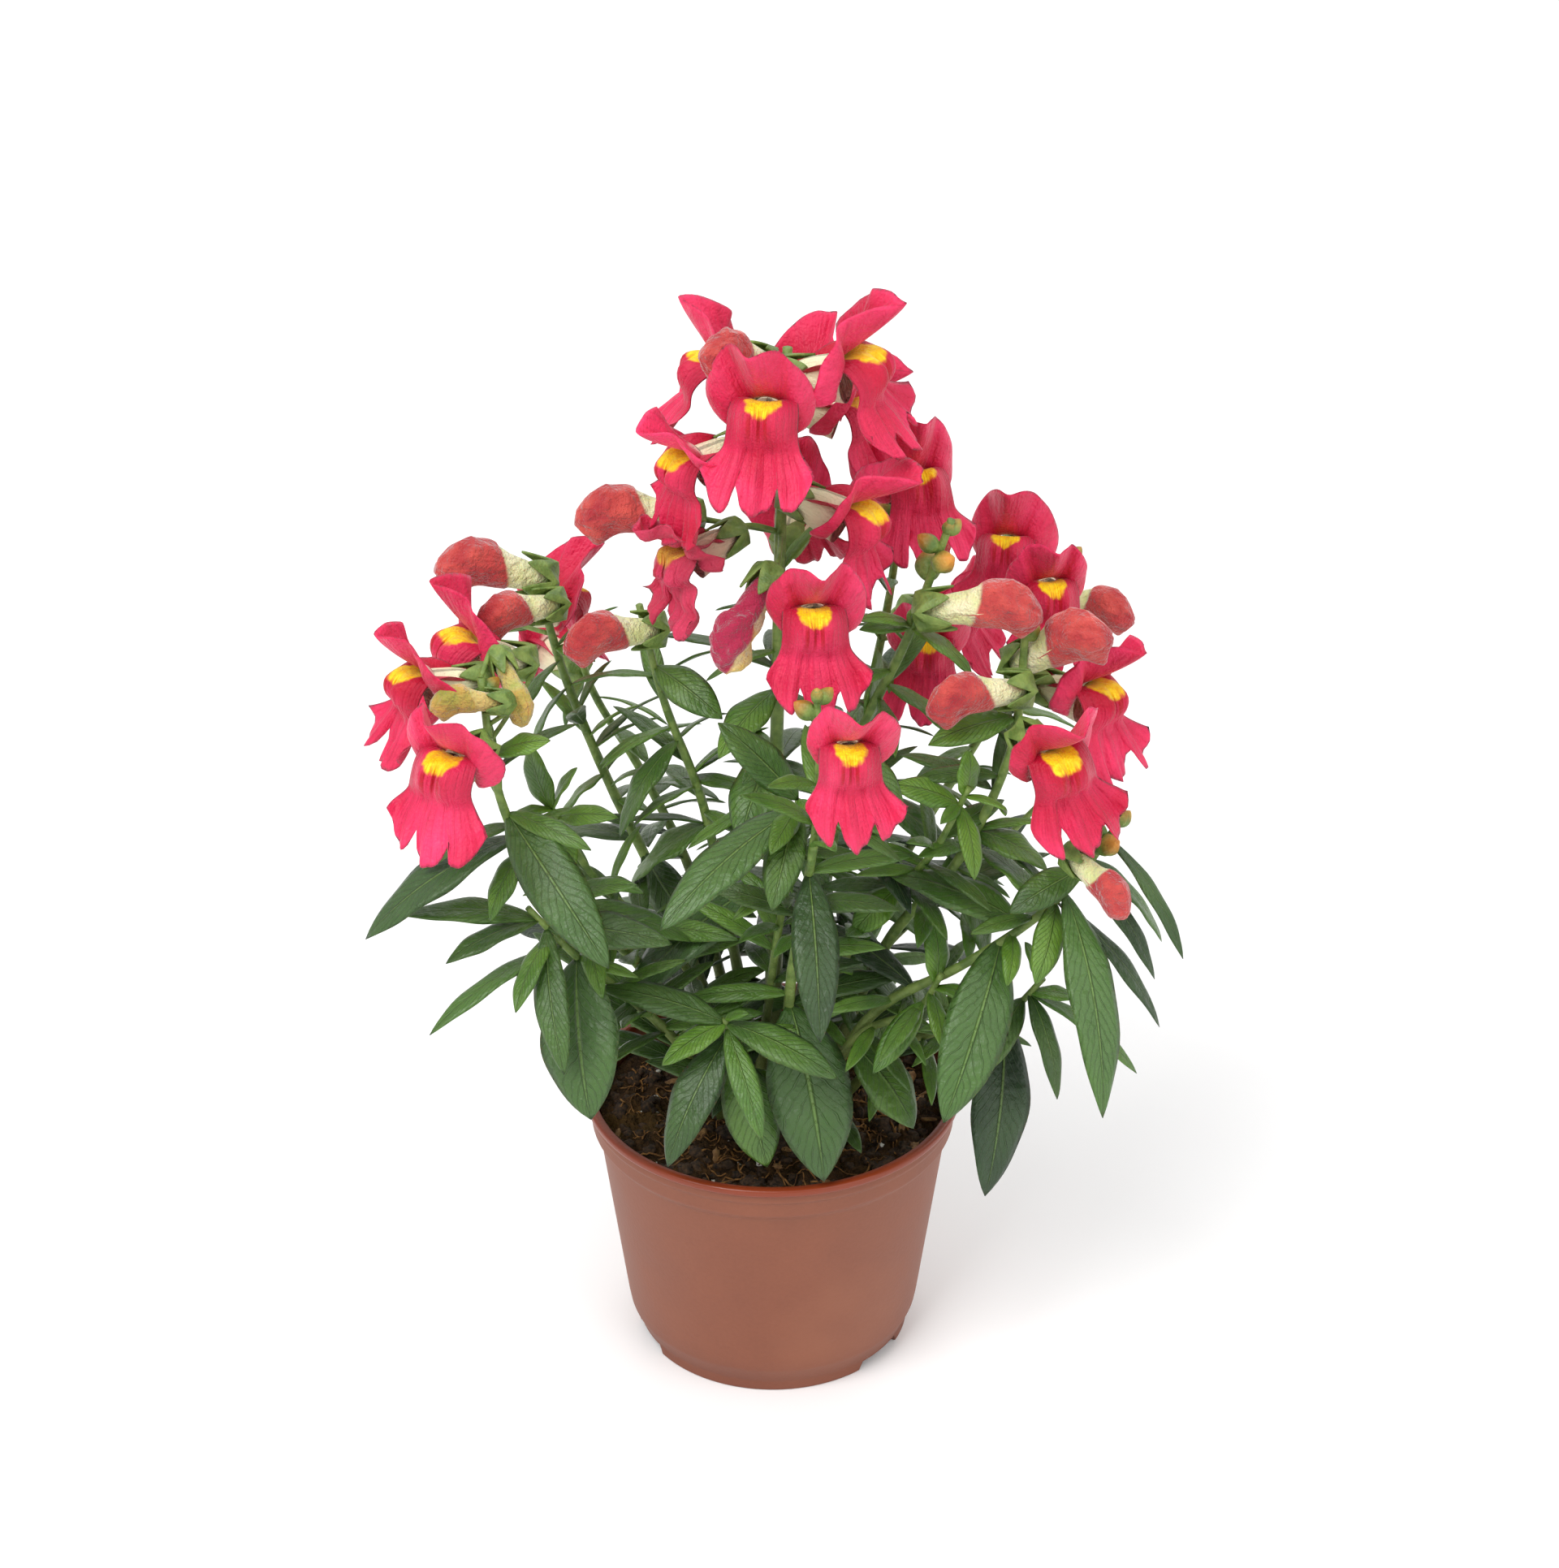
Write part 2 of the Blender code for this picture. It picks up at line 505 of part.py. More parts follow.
def leaf_blade(base, tip, width, start=0.0, grow=0.0):
    """A closed lens-like blade: a keel line above and below, and sharp edges left and right."""
    at, side = leaf_line(base, tip, LEAF_ARCH)
    length = (tip - base).length
    steps = LEAF_STEPS if length > LARGE_LEAF else (0.0, 0.3, 0.66, 1.0)
    if length < SMALL_LEAF:
        steps = (0.0, 0.45, 1.0)
    steps = [max(step, start) for step in steps if step > start or start == 0.0]
    if start:
        steps = [start] + steps
    verts, faces = [], []
    for t in steps[:-1]:
        point, tangent = at(t)
        normal = side.cross(tangent).normalized()
        half = width / 2 * float(np.interp(t, LEAF_STEPS, LEAF_WIDTHS)) + grow
        keel = normal * (-LEAF_KEEL * half)
        thick = normal * (LEAF_THICK / 2 + grow)
        verts += [point + side * half - keel, point + keel + thick, point - side * half - keel,
                  point + keel - thick]
    verts.append(at(1.0)[0])
    rows = len(steps) - 1
    for i in range(rows - 1):
        for k in range(4):
            a, b = i * 4 + k, i * 4 + (k + 1) % 4
            faces.append((a, b, b + 4, a + 4))
    last, end = (rows - 1) * 4, rows * 4
    for k in range(4):
        faces.append((last + k, last + (k + 1) % 4, end))
    faces.append((3, 2, 1, 0))
    return verts, faces


def facing(azimuth, pitch, roll):
    """Forward, side and up of a piece that faces that way; azimuth 0 is towards the viewer."""
    a, e, r = (math.radians(x) for x in (azimuth, pitch, roll))
    forward = Vector((math.sin(a) * math.cos(e), -math.cos(a) * math.cos(e), math.sin(e)))
    side = forward.cross(UP).normalized()
    up = side.cross(forward)
    return forward, side * math.cos(r) + up * math.sin(r), up * math.cos(r) - side * math.sin(r)


def lens(points):
    """A closed thin petal from a grid of (centre, normal): top and bottom share the grid's rim."""
    verts, faces, top, under = [], [], {}, {}
    rows, columns = len(points), len(points[0])
    for i in range(rows):
        for j in range(columns):
            centre, normal = points[i][j]
            rim = i in (0, rows - 1) or j in (0, columns - 1)
            top[i, j] = len(verts)
            verts.append(centre if rim else centre + normal * PETAL_THICK / 2)
            under[i, j] = top[i, j]
            if not rim:
                under[i, j] = len(verts)
                verts.append(centre - normal * PETAL_THICK / 2)
    for i in range(rows - 1):
        for j in range(columns - 1):
            corners = [(i, j), (i, j + 1), (i + 1, j + 1), (i + 1, j)]
            if top[corners[0]] == under[corners[0]] and top[corners[2]] == under[corners[2]]:
                corners = corners[1:] + corners[:1]
            for side, turn in ((top, 1), (under, -1)):
                a, b, c, d = (side[k] for k in corners)
                for tri in ((a, b, c), (a, c, d)):
                    faces.append(tri[::turn])
    return verts, faces


def upper_lip(u, v):
    """Two erect lobes: u runs from the left over the top to the right, v from throat to rim."""
    theta = math.radians(90 - u * 105)
    aside = abs(u)
    notch = 1 - 0.16 * math.exp(-(u / 0.16) ** 2)
    reach = UPPER_LOBE * max(0.0, 1 - aside ** 1.7) ** 0.75 * notch + 1.0
    ray = Vector((0, math.cos(theta) * 0.42, math.sin(theta) + 0.35 * (1 - aside))).normalized()
    start = Vector((THROAT_X - 3.0, THROAT_R * math.cos(theta), 0.9 + THROAT_R * math.sin(theta)))
    share = reach / (UPPER_LOBE - 1)
    bend = start + ray * 3 + Vector((7 * share ** 0.5, 0, 0))
    end = start + ray * (0.82 * reach) + Vector(((17 - 26 * aside ** 1.2) * share ** 0.7, 0, 0))
    return start * (1 - v) ** 2 + bend * 2 * v * (1 - v) + end * v ** 2


def lower_lip(u, v):
    """The two-humped palate that closes the throat, then three lobes that hang from it."""
    x, z, half = (float(np.interp(v, PALATE_STEPS, row)) for row in (PALATE_AHEAD, PALATE_HEIGHT, PALATE_HALF))
    aside = abs(u)
    lobe = max(0.0, (v - 0.55) / 0.45)
    notch = math.exp(-((aside - 0.36) / 0.10) ** 2)
    corner = max(0.0, (aside - 0.62) / 0.38)
    hump = 2.0 * math.exp(-((v - 0.38) / 0.13) ** 2) * math.exp(-((aside - 0.38) / 0.22) ** 2)
    z += lobe ** 1.6 * (5.4 * notch + 6.5 * corner ** 1.7 + 2.6 * aside)
    x += hump - 1.8 * lobe * notch - 4.0 * lobe * aside ** 2
    x -= 7.0 * aside ** 2.5 * max(0.0, 1.2 - v / 0.8)
    return Vector((x, u * half, z))


def petal_grid(surface, us, vs):
    step = 0.02
    rows = []
    for v in vs:
        row = []
        for u in us:
            du = surface(u + step, v) - surface(u - step, v)
            dv = surface(u, min(v + step, 1)) - surface(u, max(v - step, 0))
            row.append((surface(u, v), du.cross(dv).normalized()))
        rows.append(row)
    return rows


def placed(shape, origin, axes, scale):
    """A local shape (x forward, y to its side, z up) put at origin along three axes."""
    forward, side, up = axes
    verts, faces = shape
    return [origin + (forward * p.x + side * p.y + up * p.z) * scale for p in verts], faces


def outward(shape):
    """The same closed shape with its faces turned out."""
    verts, faces = shape
    made = bmesh.new()
    points = [made.verts.new(p) for p in verts]
    for face in faces:
        made.faces.new([points[i] for i in face])
    bmesh.ops.recalc_face_normals(made, faces=made.faces)
    made.verts.index_update()
    bmesh.ops.triangulate(made, faces=made.faces)
    turned = [tuple(v.index for v in f.verts) for f in made.faces]
    made.free()
    return verts, turned


def bloom_place(spec, size_full, reach):
    """Origin (foot of the tube), axes and scale of a bloom or bud from its table row."""
    _, place, turn, size = spec
    axes = facing(*turn)
    scale = size / size_full
    return seen(*place) - axes[0] * (reach * scale), axes, scale


def bloom_shapes(spec):
    origin, axes, scale = bloom_place(spec, BLOOM_SIZE, THROAT_X + 2)
    body = tube([Vector((x, 0, z)) for x, _, z in TUBE_RINGS], [r for _, r, _ in TUBE_RINGS], 5)
    upper = lens(petal_grid(upper_lip, UPPER_COLUMNS, (0.0, 0.5, 1.0)))
    lower = lens(petal_grid(lower_lip, LOWER_COLUMNS, PALATE_STEPS))
    return [outward(placed(shape, origin, axes, scale)) for shape in (body, upper, lower)]


def bud_shape(spec):
    """A closed bud: an oval tube swelling into a cap whose lower lip ends in a small beak."""
    origin, axes, scale = bloom_place(spec, BUD_SIZE, BUD_REACH)
    verts, faces, sides = [], [], 6
    for x, wide, high, drop in BUD_RINGS:
        for k in range(sides):
            a = math.pi * 2 * k / sides + math.pi / 2
            verts.append(Vector((x, wide * math.cos(a), drop + high * math.sin(a))))
    for i in range(len(BUD_RINGS) - 1):
        for k in range(sides):
            a, b = i * sides + k, i * sides + (k + 1) % sides
            faces.append((a, b, b + sides, a + sides))
    faces.append(tuple(reversed(range(sides))))
    last = (len(BUD_RINGS) - 1) * sides
    faces.append(tuple(range(last, last + sides)))
    verts[4 * sides + sides // 2] = Vector((BUD_BEAK[0], 0, BUD_BEAK[1]))
    return [outward(placed((verts, faces), origin, axes, scale))]


def nearest_on(route, point):
    return min(range(len(route)), key=lambda i: (route[i] - point).length)


def calyx_shapes(route, origin, axes, scale):
    """A stalk that leaves the stem, and a flat cup of five pointed sepals at its end."""
    forward, side, up = axes
    line = fine(route)
    start = line[nearest_on(line, origin - forward * 8 - UP * 4)]
    floor = origin - forward * CLEAR
    neck = floor - forward * CALYX_FLOOR
    stalk = tube([start, neck + forward * 1.2], [PEDICEL_R * 0.7, PEDICEL_R], 4)
    neck_ring, outer, inner, tips, verts = [], [], [], [], []
    for k in range(SEPALS):
        a = 2 * math.pi * k / SEPALS
        spoke = side * math.sin(a) + up * math.cos(a)
        for ring, point in ((neck_ring, neck + spoke * PEDICEL_R * 1.4),
                            (outer, floor + spoke * (CALYX_R * scale)),
                            (inner, floor + spoke * (CALYX_R * scale - 0.7))):
            ring.append(len(verts))
            verts.append(point)
        a += math.pi / SEPALS
        spoke = side * math.sin(a) + up * math.cos(a)
        tips.append(len(verts))
        verts.append(origin + forward * (CALYX_LENGTH * scale) + spoke * ((CALYX_R + 0.8) * scale))
    faces = [tuple(neck_ring), tuple(inner)]
    for k in range(SEPALS):
        n = (k + 1) % SEPALS
        faces.append((neck_ring[k], neck_ring[n], outer[n], outer[k]))
        faces += [(outer[k], outer[n], tips[k]), (inner[n], inner[k], tips[k])]
        faces += [(outer[n], inner[n], tips[k]), (inner[k], outer[k], tips[k])]
    return [outward(stalk), outward((verts, faces))]


def small_bud(foot, direction, size):
    """A young green bud: a four-sided spindle."""
    up, side = frame_along(direction, UP)
    verts = [foot]
    for k in range(4):
        a = 2 * math.pi * k / 4
        spoke = up * math.cos(a) + side * math.sin(a)
        verts.append(foot + (direction * 0.75 + spoke * 0.45) * size)
    verts.append(foot + direction * size * 1.6)
    faces = []
    for k in range(4):
        n = (k + 1) % 4
        faces += [(0, 1 + n, 1 + k), (1 + k, 1 + n, 5)]
    return outward((verts, faces))


def tip_buds(route, count):
    """Young buds that spiral round the last stretch of a stem, smaller towards its end."""
    line = fine(route)
    shapes = [small_bud(line[-2], (line[-1] - line[-2]).normalized(), 3.0)]
    for k in range(count):
        turn = GOLDEN_TURN * k + 0.6
        size = 3.6 + 0.9 * k
        shapes.append(small_bud(line[-2 - k], Vector((math.cos(turn), math.sin(turn), 0.7)).normalized(), size))
    return shapes


def bvh(shape):
    points, faces = shape
    return BVHTree.FromPolygons([tuple(p) for p in points], faces)


class Space:
    """What the plant already fills, so that a new leaf can be bent clear of it."""

    def __init__(self):
        self.filled = []

    def add(self, node, kind, shape):
        self.filled.append((node, kind, bvh(shape)))

    def holds(self, shape, node=None, kinds=()):
        """The first piece that a shape would run into, leaving out one node's own kinds."""
        tree = bvh(shape)
        for other, kind, there in self.filled:
            if not (other == node and kind in kinds) and tree.overlap(there):
                return other
        return None

    def is_clear(self, node, base, tip, width):
        whole = bvh(leaf_blade(base, tip, width, grow=CLEAR))
        outer = bvh(leaf_blade(base, tip, width, start=0.25, grow=CLEAR))
        for other, kind, tree in self.filled:
            test = outer if other == node else whole
            if test.overlap(tree):
                return False
        return True


# Turns and rises, in degrees, that are tried in order to bend a leaf clear
BENDS = ((0, 0), (0, 5), (0, -5), (5, 0), (-5, 0), (0, 9), (0, -9), (9, 0), (-9, 0), (6, 7), (-6, 7),
         (6, -7), (-6, -7), (0, 14), (0, -14), (14, 0), (-14, 0), (12, 12), (-12, 12), (12, -12), (-12, -12),
         (0, 20), (0, -20), (20, 6), (-20, 6))


def bent_clear(space, node, base, tip, width):
    """The tip moved by the smallest bend that takes the leaf clear of all else, or None."""
    chord = tip - base
    side = chord.cross(UP + Vector((0.01, -0.6, 0))).normalized()
    normal = side.cross(chord).normalized()
    for turn, rise in BENDS:
        moved = base + (chord + side * math.tan(math.radians(turn)) * chord.length
                        + normal * math.tan(math.radians(rise)) * chord.length).normalized() * chord.length
        low = moved.z < SOIL_TOP_Z + 4 and math.hypot(moved.x, moved.y) < POT_RIM_R + 4
        if not low and space.is_clear(node, base, moved, width):
            return moved
    return None


def leaf_from_view(route, row):
    base_x, base_y, tip_x, tip_y, out, width = row
    mark = Vector((base_x, base_y))
    base = min(fine(route), key=lambda point: (shown_at(point) - mark).length)
    return base, seen_beside(tip_x, tip_y, base, out), width


def back_leaf(route, k, count, draw):
    """Leaves that the front view hides: they spiral up the stem and lean away from the viewer."""
    share = 0.24 + 0.5 * k / max(count, 1)
    line = fine(route)
    base = line[int(share * (len(line) - 1))]
    turn = math.radians(90) + math.sin(GOLDEN_TURN * k) * math.radians(80)
    length = draw.uniform(*BACK_LEAF_LENGTH) * (1 - 0.35 * share)
    rise = draw.uniform(-0.5, 0.35)
    tip = base + Vector((math.cos(turn), math.sin(turn), rise)).normalized() * length
    return base, tip, length * BACK_LEAF_WIDTH


def plant_layout():
    """Every stem, bloom, bud and leaf in place, each set clear of what stands before it."""
    space, plant = Space(), {}
    routes = {name: stem_route(spec) for name, spec in STEMS.items()}
    for name, spec in STEMS.items():
        ends = (0, len(routes[name]) - 1)
        radii = [np.interp(i, ends, spec["thick"]) / 2 for i in range(len(routes[name]))]
        shape = tube(routes[name], radii, STEM_SIDES)
        plant[name] = {"colour": "leaf", "shapes": [outward(shape)]}
        space.add(name, "stem", shape)
    for name, spec in BLOOMS.items():
        set_flower(plant, space, routes, name, spec, "petal")
    for name, spec in BUDS.items():
        set_flower(plant, space, routes, name, spec, "bud")
    for name, spec in STEMS.items():
        if spec["tips"]:
            for shape in tip_buds(routes[name], spec["tips"]):
                if space.holds(shape, name, ("stem", "tip")):
                    continue
                plant[name]["shapes"].append(shape)
                space.add(name, "tip", shape)
    grow_leaves(plant, space, routes)
    return plant, routes


def set_flower(plant, space, routes, name, spec, colour):
    """A bloom or bud and its stalk, set a little nearer or farther where others are in its way."""
    stem, (x_px, y_px, back), turn, size = spec
    if colour == "petal":
        full, reach, make = BLOOM_SIZE, THROAT_X + 2, bloom_shapes
    else:
        full, reach, make = BUD_SIZE, BUD_REACH, bud_shape
    for shift, swing in FLOWER_SHIFTS:
        moved = (stem, (x_px, y_px, back + shift), (turn[0] + swing, turn[1], turn[2]), size)
        origin, axes, scale = bloom_place(moved, full, reach)
        swollen = make((stem, moved[1], moved[2], size * FLOWER_ROOM))
        holder = calyx_shapes(routes[stem], origin, axes, scale)
        crossed = any(bvh(part).overlap(bvh(shape)) for part in holder for shape in make(moved))
        blocked = crossed or any(space.holds(shape) for shape in swollen)
        if not blocked and not any(space.holds(part, stem, ("stem", "calyx")) for part in holder):
            break
    else:
        print("no room for", name)
    plant[name] = {"colour": colour, "shapes": make(moved)}
    for shape in plant[name]["shapes"]:
        space.add(name, "bloom", shape)
    for part in holder:
        plant[stem]["shapes"].append(part)
        space.add(stem, "calyx", part)


def grow_leaves(plant, space, routes):
    draw = random.Random(7)
    kept = dropped = 0
    for name, spec in STEMS.items():
        wanted = [leaf_from_view(routes[name], row) for row in spec["leaves"]]
        count = spec["back_leaves"]
        wanted += [back_leaf(routes[name], k, count, draw) for k in range(count)]
        for base, tip, width in wanted:
            clear_tip = bent_clear(space, name, base, tip, width)
            if clear_tip is None:
                dropped += 1
                continue
            blade = leaf_blade(base, clear_tip, width)
            plant[name]["shapes"].append(outward(blade))
            space.add(name, "leaf", blade)
            kept += 1
    print("leaves grown", kept, "left out for want of room", dropped)


def pot_profile():
    """Outer line from the foot to the lip, then the inner line back down, as (radius, height)."""
    step_z = POT_HEIGHT - BAND_HEIGHT
    band_r = POT_RIM_R - LIP_OUT
    wall_r = band_r - BAND_STEP
    outer = [(FOOT_R, 0), (FOOT_R, FOOT_HEIGHT),
             (WALL_BOTTOM_R - 0.6, WALL_BOTTOM_Z - 3.5), (WALL_BOTTOM_R, WALL_BOTTOM_Z), (wall_r, step_z - 1.5),
             (band_r, step_z + 0.6), (band_r + 0.4, POT_HEIGHT - LIP_HEIGHT),
             (POT_RIM_R, POT_HEIGHT - LIP_HEIGHT + 0.6), (POT_RIM_R, POT_HEIGHT - 0.5),
             (POT_RIM_R - 0.8, POT_HEIGHT)]
    inner = [(band_r - POT_WALL, POT_HEIGHT - 0.4), (band_r - POT_WALL, step_z + 0.6),
             (wall_r - POT_WALL, step_z - 2.0), (WALL_BOTTOM_R - POT_WALL, WALL_BOTTOM_Z),
             (FOOT_R - POT_WALL, FOOT_HEIGHT + FLOOR_THICK)]
    return outer, inner


def turned(profile, sides):
    """A closed solid of revolution from a line that starts and ends on the axis."""
    verts, faces = [], []
    rings = []
    for r, z in profile:
        if r == 0:
            rings.append([len(verts)])
            verts.append(Vector((0, 0, z)))
            continue
        rings.append(list(range(len(verts), len(verts) + sides)))
        for k in range(sides):
            a = 2 * math.pi * k / sides
            verts.append(Vector((r * math.cos(a), r * math.sin(a), z)))
    for low, high in zip(rings, rings[1:]):
        for k in range(sides):
            n = (k + 1) % sides
            if len(low) == 1:
                faces.append((low[0], high[n], high[k]))
            elif len(high) == 1:
                faces.append((low[k], low[n], high[0]))
            else:
                faces.append((low[k], low[n], high[n], high[k]))
    return outward((verts, faces))


def cutter(name, shape):
    obj = add_object(name, shape, "pot")
    obj.hide_render = True
    obj.display_type = "WIRE"
    return obj


def cut(obj, tool):
    modifier = obj.modifiers.new("Cut " + tool.name, "BOOLEAN")
    modifier.operation = "DIFFERENCE"
    modifier.object = tool
    modifier.solver = "EXACT"


def box_shape(centre, size):
    signs = [(x, y, z) for z in (-1, 1) for y in (-1, 1) for x in (-1, 1)]
    verts = [centre + Vector([s * d / 2 for s, d in zip(sign, size)]) for sign in signs]
    return verts, [(0, 2, 3, 1), (4, 5, 7, 6), (0, 1, 5, 4), (2, 6, 7, 3), (0, 4, 6, 2), (1, 3, 7, 5)]


def make_pot():
    outer, inner = pot_profile()
    under = [(0, FOOT_HEIGHT), (FOOT_R - FOOT_WIDTH, FOOT_HEIGHT), (FOOT_R - FOOT_WIDTH, 0)]
    pot = add_object("pot", turned(under + outer + inner + [(0, FOOT_HEIGHT + FLOOR_THICK)], POT_SIDES), "pot")
    for k in range(FOOT_NOTCHES):
        a = math.radians(FOOT_NOTCH_START) + 2 * math.pi * k / FOOT_NOTCHES
        centre = Vector((math.cos(a), math.sin(a), 0)) * (FOOT_R - FOOT_WIDTH / 2)
        verts, faces = box_shape(Vector((0, 0, 0)), (FOOT_WIDTH * 4, FOOT_NOTCH_WIDTH, FOOT_HEIGHT * 2 - 0.8))
        turn_x, turn_y = Vector((math.cos(a), math.sin(a), 0)), Vector((-math.sin(a), math.cos(a), 0))
        verts = [centre + turn_x * p.x + turn_y * p.y + UP * p.z for p in verts]
        cut(pot, cutter(f"notch_{k}", (verts, faces)))
    for k in range(HOLES):
        a = 2 * math.pi * (k + 0.5) / HOLES
        spot = Vector((math.cos(a), math.sin(a), 0)) * HOLE_RING_R
        drill = tube([spot - UP * 5, spot + UP * 20], [HOLE_R, HOLE_R], 8)
        cut(pot, cutter(f"hole_{k}", outward(drill)))
    return pot


def lump(x, y):
    """The soil's lumps as a smooth sum of waves."""
    waves = 0.5 * math.sin(x * 0.31 + 1.3) * math.cos(y * 0.27)
    waves += 0.3 * math.sin(x * 0.13 - y * 0.34) + 0.2 * math.cos(x * 0.52 + y * 0.43)
    return SOIL_LUMP * waves


def make_soil(routes):
    _, inner = pot_profile()
    fit = [(r - CLEAR, z) for r, z in reversed(inner) if z < SOIL_TOP_Z]
    fit[0] = (fit[0][0], fit[0][1] + CLEAR)
    heights, widths = [z for _, z in fit] + [SOIL_TOP_Z + 9], [r for r, _ in fit] + [fit[-1][0] + 0.6]
    top_r = float(np.interp(SOIL_TOP_Z - 1.5, heights, widths))
    profile = [(0, fit[0][1])] + fit + [(top_r, SOIL_TOP_Z - 1.5)]
    profile += [(top_r * s, SOIL_TOP_Z) for s in (0.86, 0.66, 0.45, 0.22)] + [(0, SOIL_TOP_Z)]
    verts, faces = turned(profile, SOIL_SIDES)
    for p in verts:
        if p.z > SOIL_TOP_Z - 0.5:
            p.z += lump(p.x, p.y) * min(1, (top_r - math.hypot(p.x, p.y)) / 4)
    soil = add_object("soil", (verts, faces), "soil")
    for name, route in routes.items():
        radius = STEMS[name]["thick"][0] / 2 + CLEAR
        foot = route[0] - UP * CLEAR
        lean = [foot, route[1], route[1] + (route[2] - route[1]).normalized() * 8]
        cut(soil, cutter("stem_hole_" + name, outward(tube(lean, [radius * 1.12] * 3, STEM_SIDES))))
    return soil


def centre_in_plan():
    """Move every mesh, cutters included, so that the whole part is centred over the origin."""
    meshes = [obj for obj in bpy.data.objects if obj.type == "MESH"]
    corners = [v.co for obj in meshes if not obj.hide_render for v in obj.data.vertices]
    middle = [(min(c[i] for c in corners) + max(c[i] for c in corners)) / 2 for i in (0, 1)]
    for obj in meshes:
        obj.data.transform(Matrix.Translation((-middle[0], -middle[1], 0)))
    print("pot axis at", round(-middle[0] / MM, 3), round(-middle[1] / MM, 3), "mm")


def main():
    clear_scene()
    plant, routes = plant_layout()
    make_pot()
    make_soil(routes)
    for name, piece in plant.items():
        join_solids(name, piece["shapes"], piece["colour"])
    centre_in_plan()


main()
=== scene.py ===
# Snapdragon in a nursery pot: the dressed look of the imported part.
# Lengths are in millimetres until a mesh is made; the tables are measured from the pot's axis.

import math
import random

import bpy
import numpy as np
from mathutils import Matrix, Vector
from mathutils.bvhtree import BVHTree


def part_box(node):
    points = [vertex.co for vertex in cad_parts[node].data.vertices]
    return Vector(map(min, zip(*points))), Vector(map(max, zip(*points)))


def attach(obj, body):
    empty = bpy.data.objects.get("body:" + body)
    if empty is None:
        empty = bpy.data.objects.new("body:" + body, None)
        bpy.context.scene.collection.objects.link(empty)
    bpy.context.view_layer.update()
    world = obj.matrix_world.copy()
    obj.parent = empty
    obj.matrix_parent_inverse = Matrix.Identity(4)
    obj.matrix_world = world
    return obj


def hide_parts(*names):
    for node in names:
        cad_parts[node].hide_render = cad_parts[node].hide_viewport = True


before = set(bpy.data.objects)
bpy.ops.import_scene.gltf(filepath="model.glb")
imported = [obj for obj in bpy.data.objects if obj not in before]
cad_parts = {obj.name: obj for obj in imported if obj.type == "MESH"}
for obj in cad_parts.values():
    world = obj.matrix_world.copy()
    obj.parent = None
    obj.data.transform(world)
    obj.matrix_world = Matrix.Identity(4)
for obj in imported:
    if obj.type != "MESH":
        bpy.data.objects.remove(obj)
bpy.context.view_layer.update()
mm = 0.001

potLow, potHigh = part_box("pot")
potAxis = np.array([(potLow.x + potHigh.x) / 2 / mm, (potLow.y + potHigh.y) / 2 / mm, 0.0])

# how the photograph was taken: the camera's place from the pot's axis, its tilt and its focal
# length in pixels of the 1920 x 1931 frame
camera = dict(eye=(1.9, -850.0, 647.1), pitch=29.15, focusPx=4502.0, middlePx=(960.0, 965.5),
              longSidePx=1931.0)

pot = dict(rimR=52.5, height=78.0, wall=1.1, bandHeight=10.5, bandStep=1.9, lipHeight=2.6, lipOut=1.9,
           wallBottomR=41.5, wallBottomZ=12.0, footR=38.5, footHeight=3.2, footWidth=3.0, notches=3,
           notchWidth=16.0, notchStart=82.0, floor=1.6, holeRing=24.0, holeR=4.5, holes=6, sides=192)

soil = dict(topZ=70.0, lump=1.6, rings=90, sides=220, clods=520, perlite=46, fibres=240, chips=40)

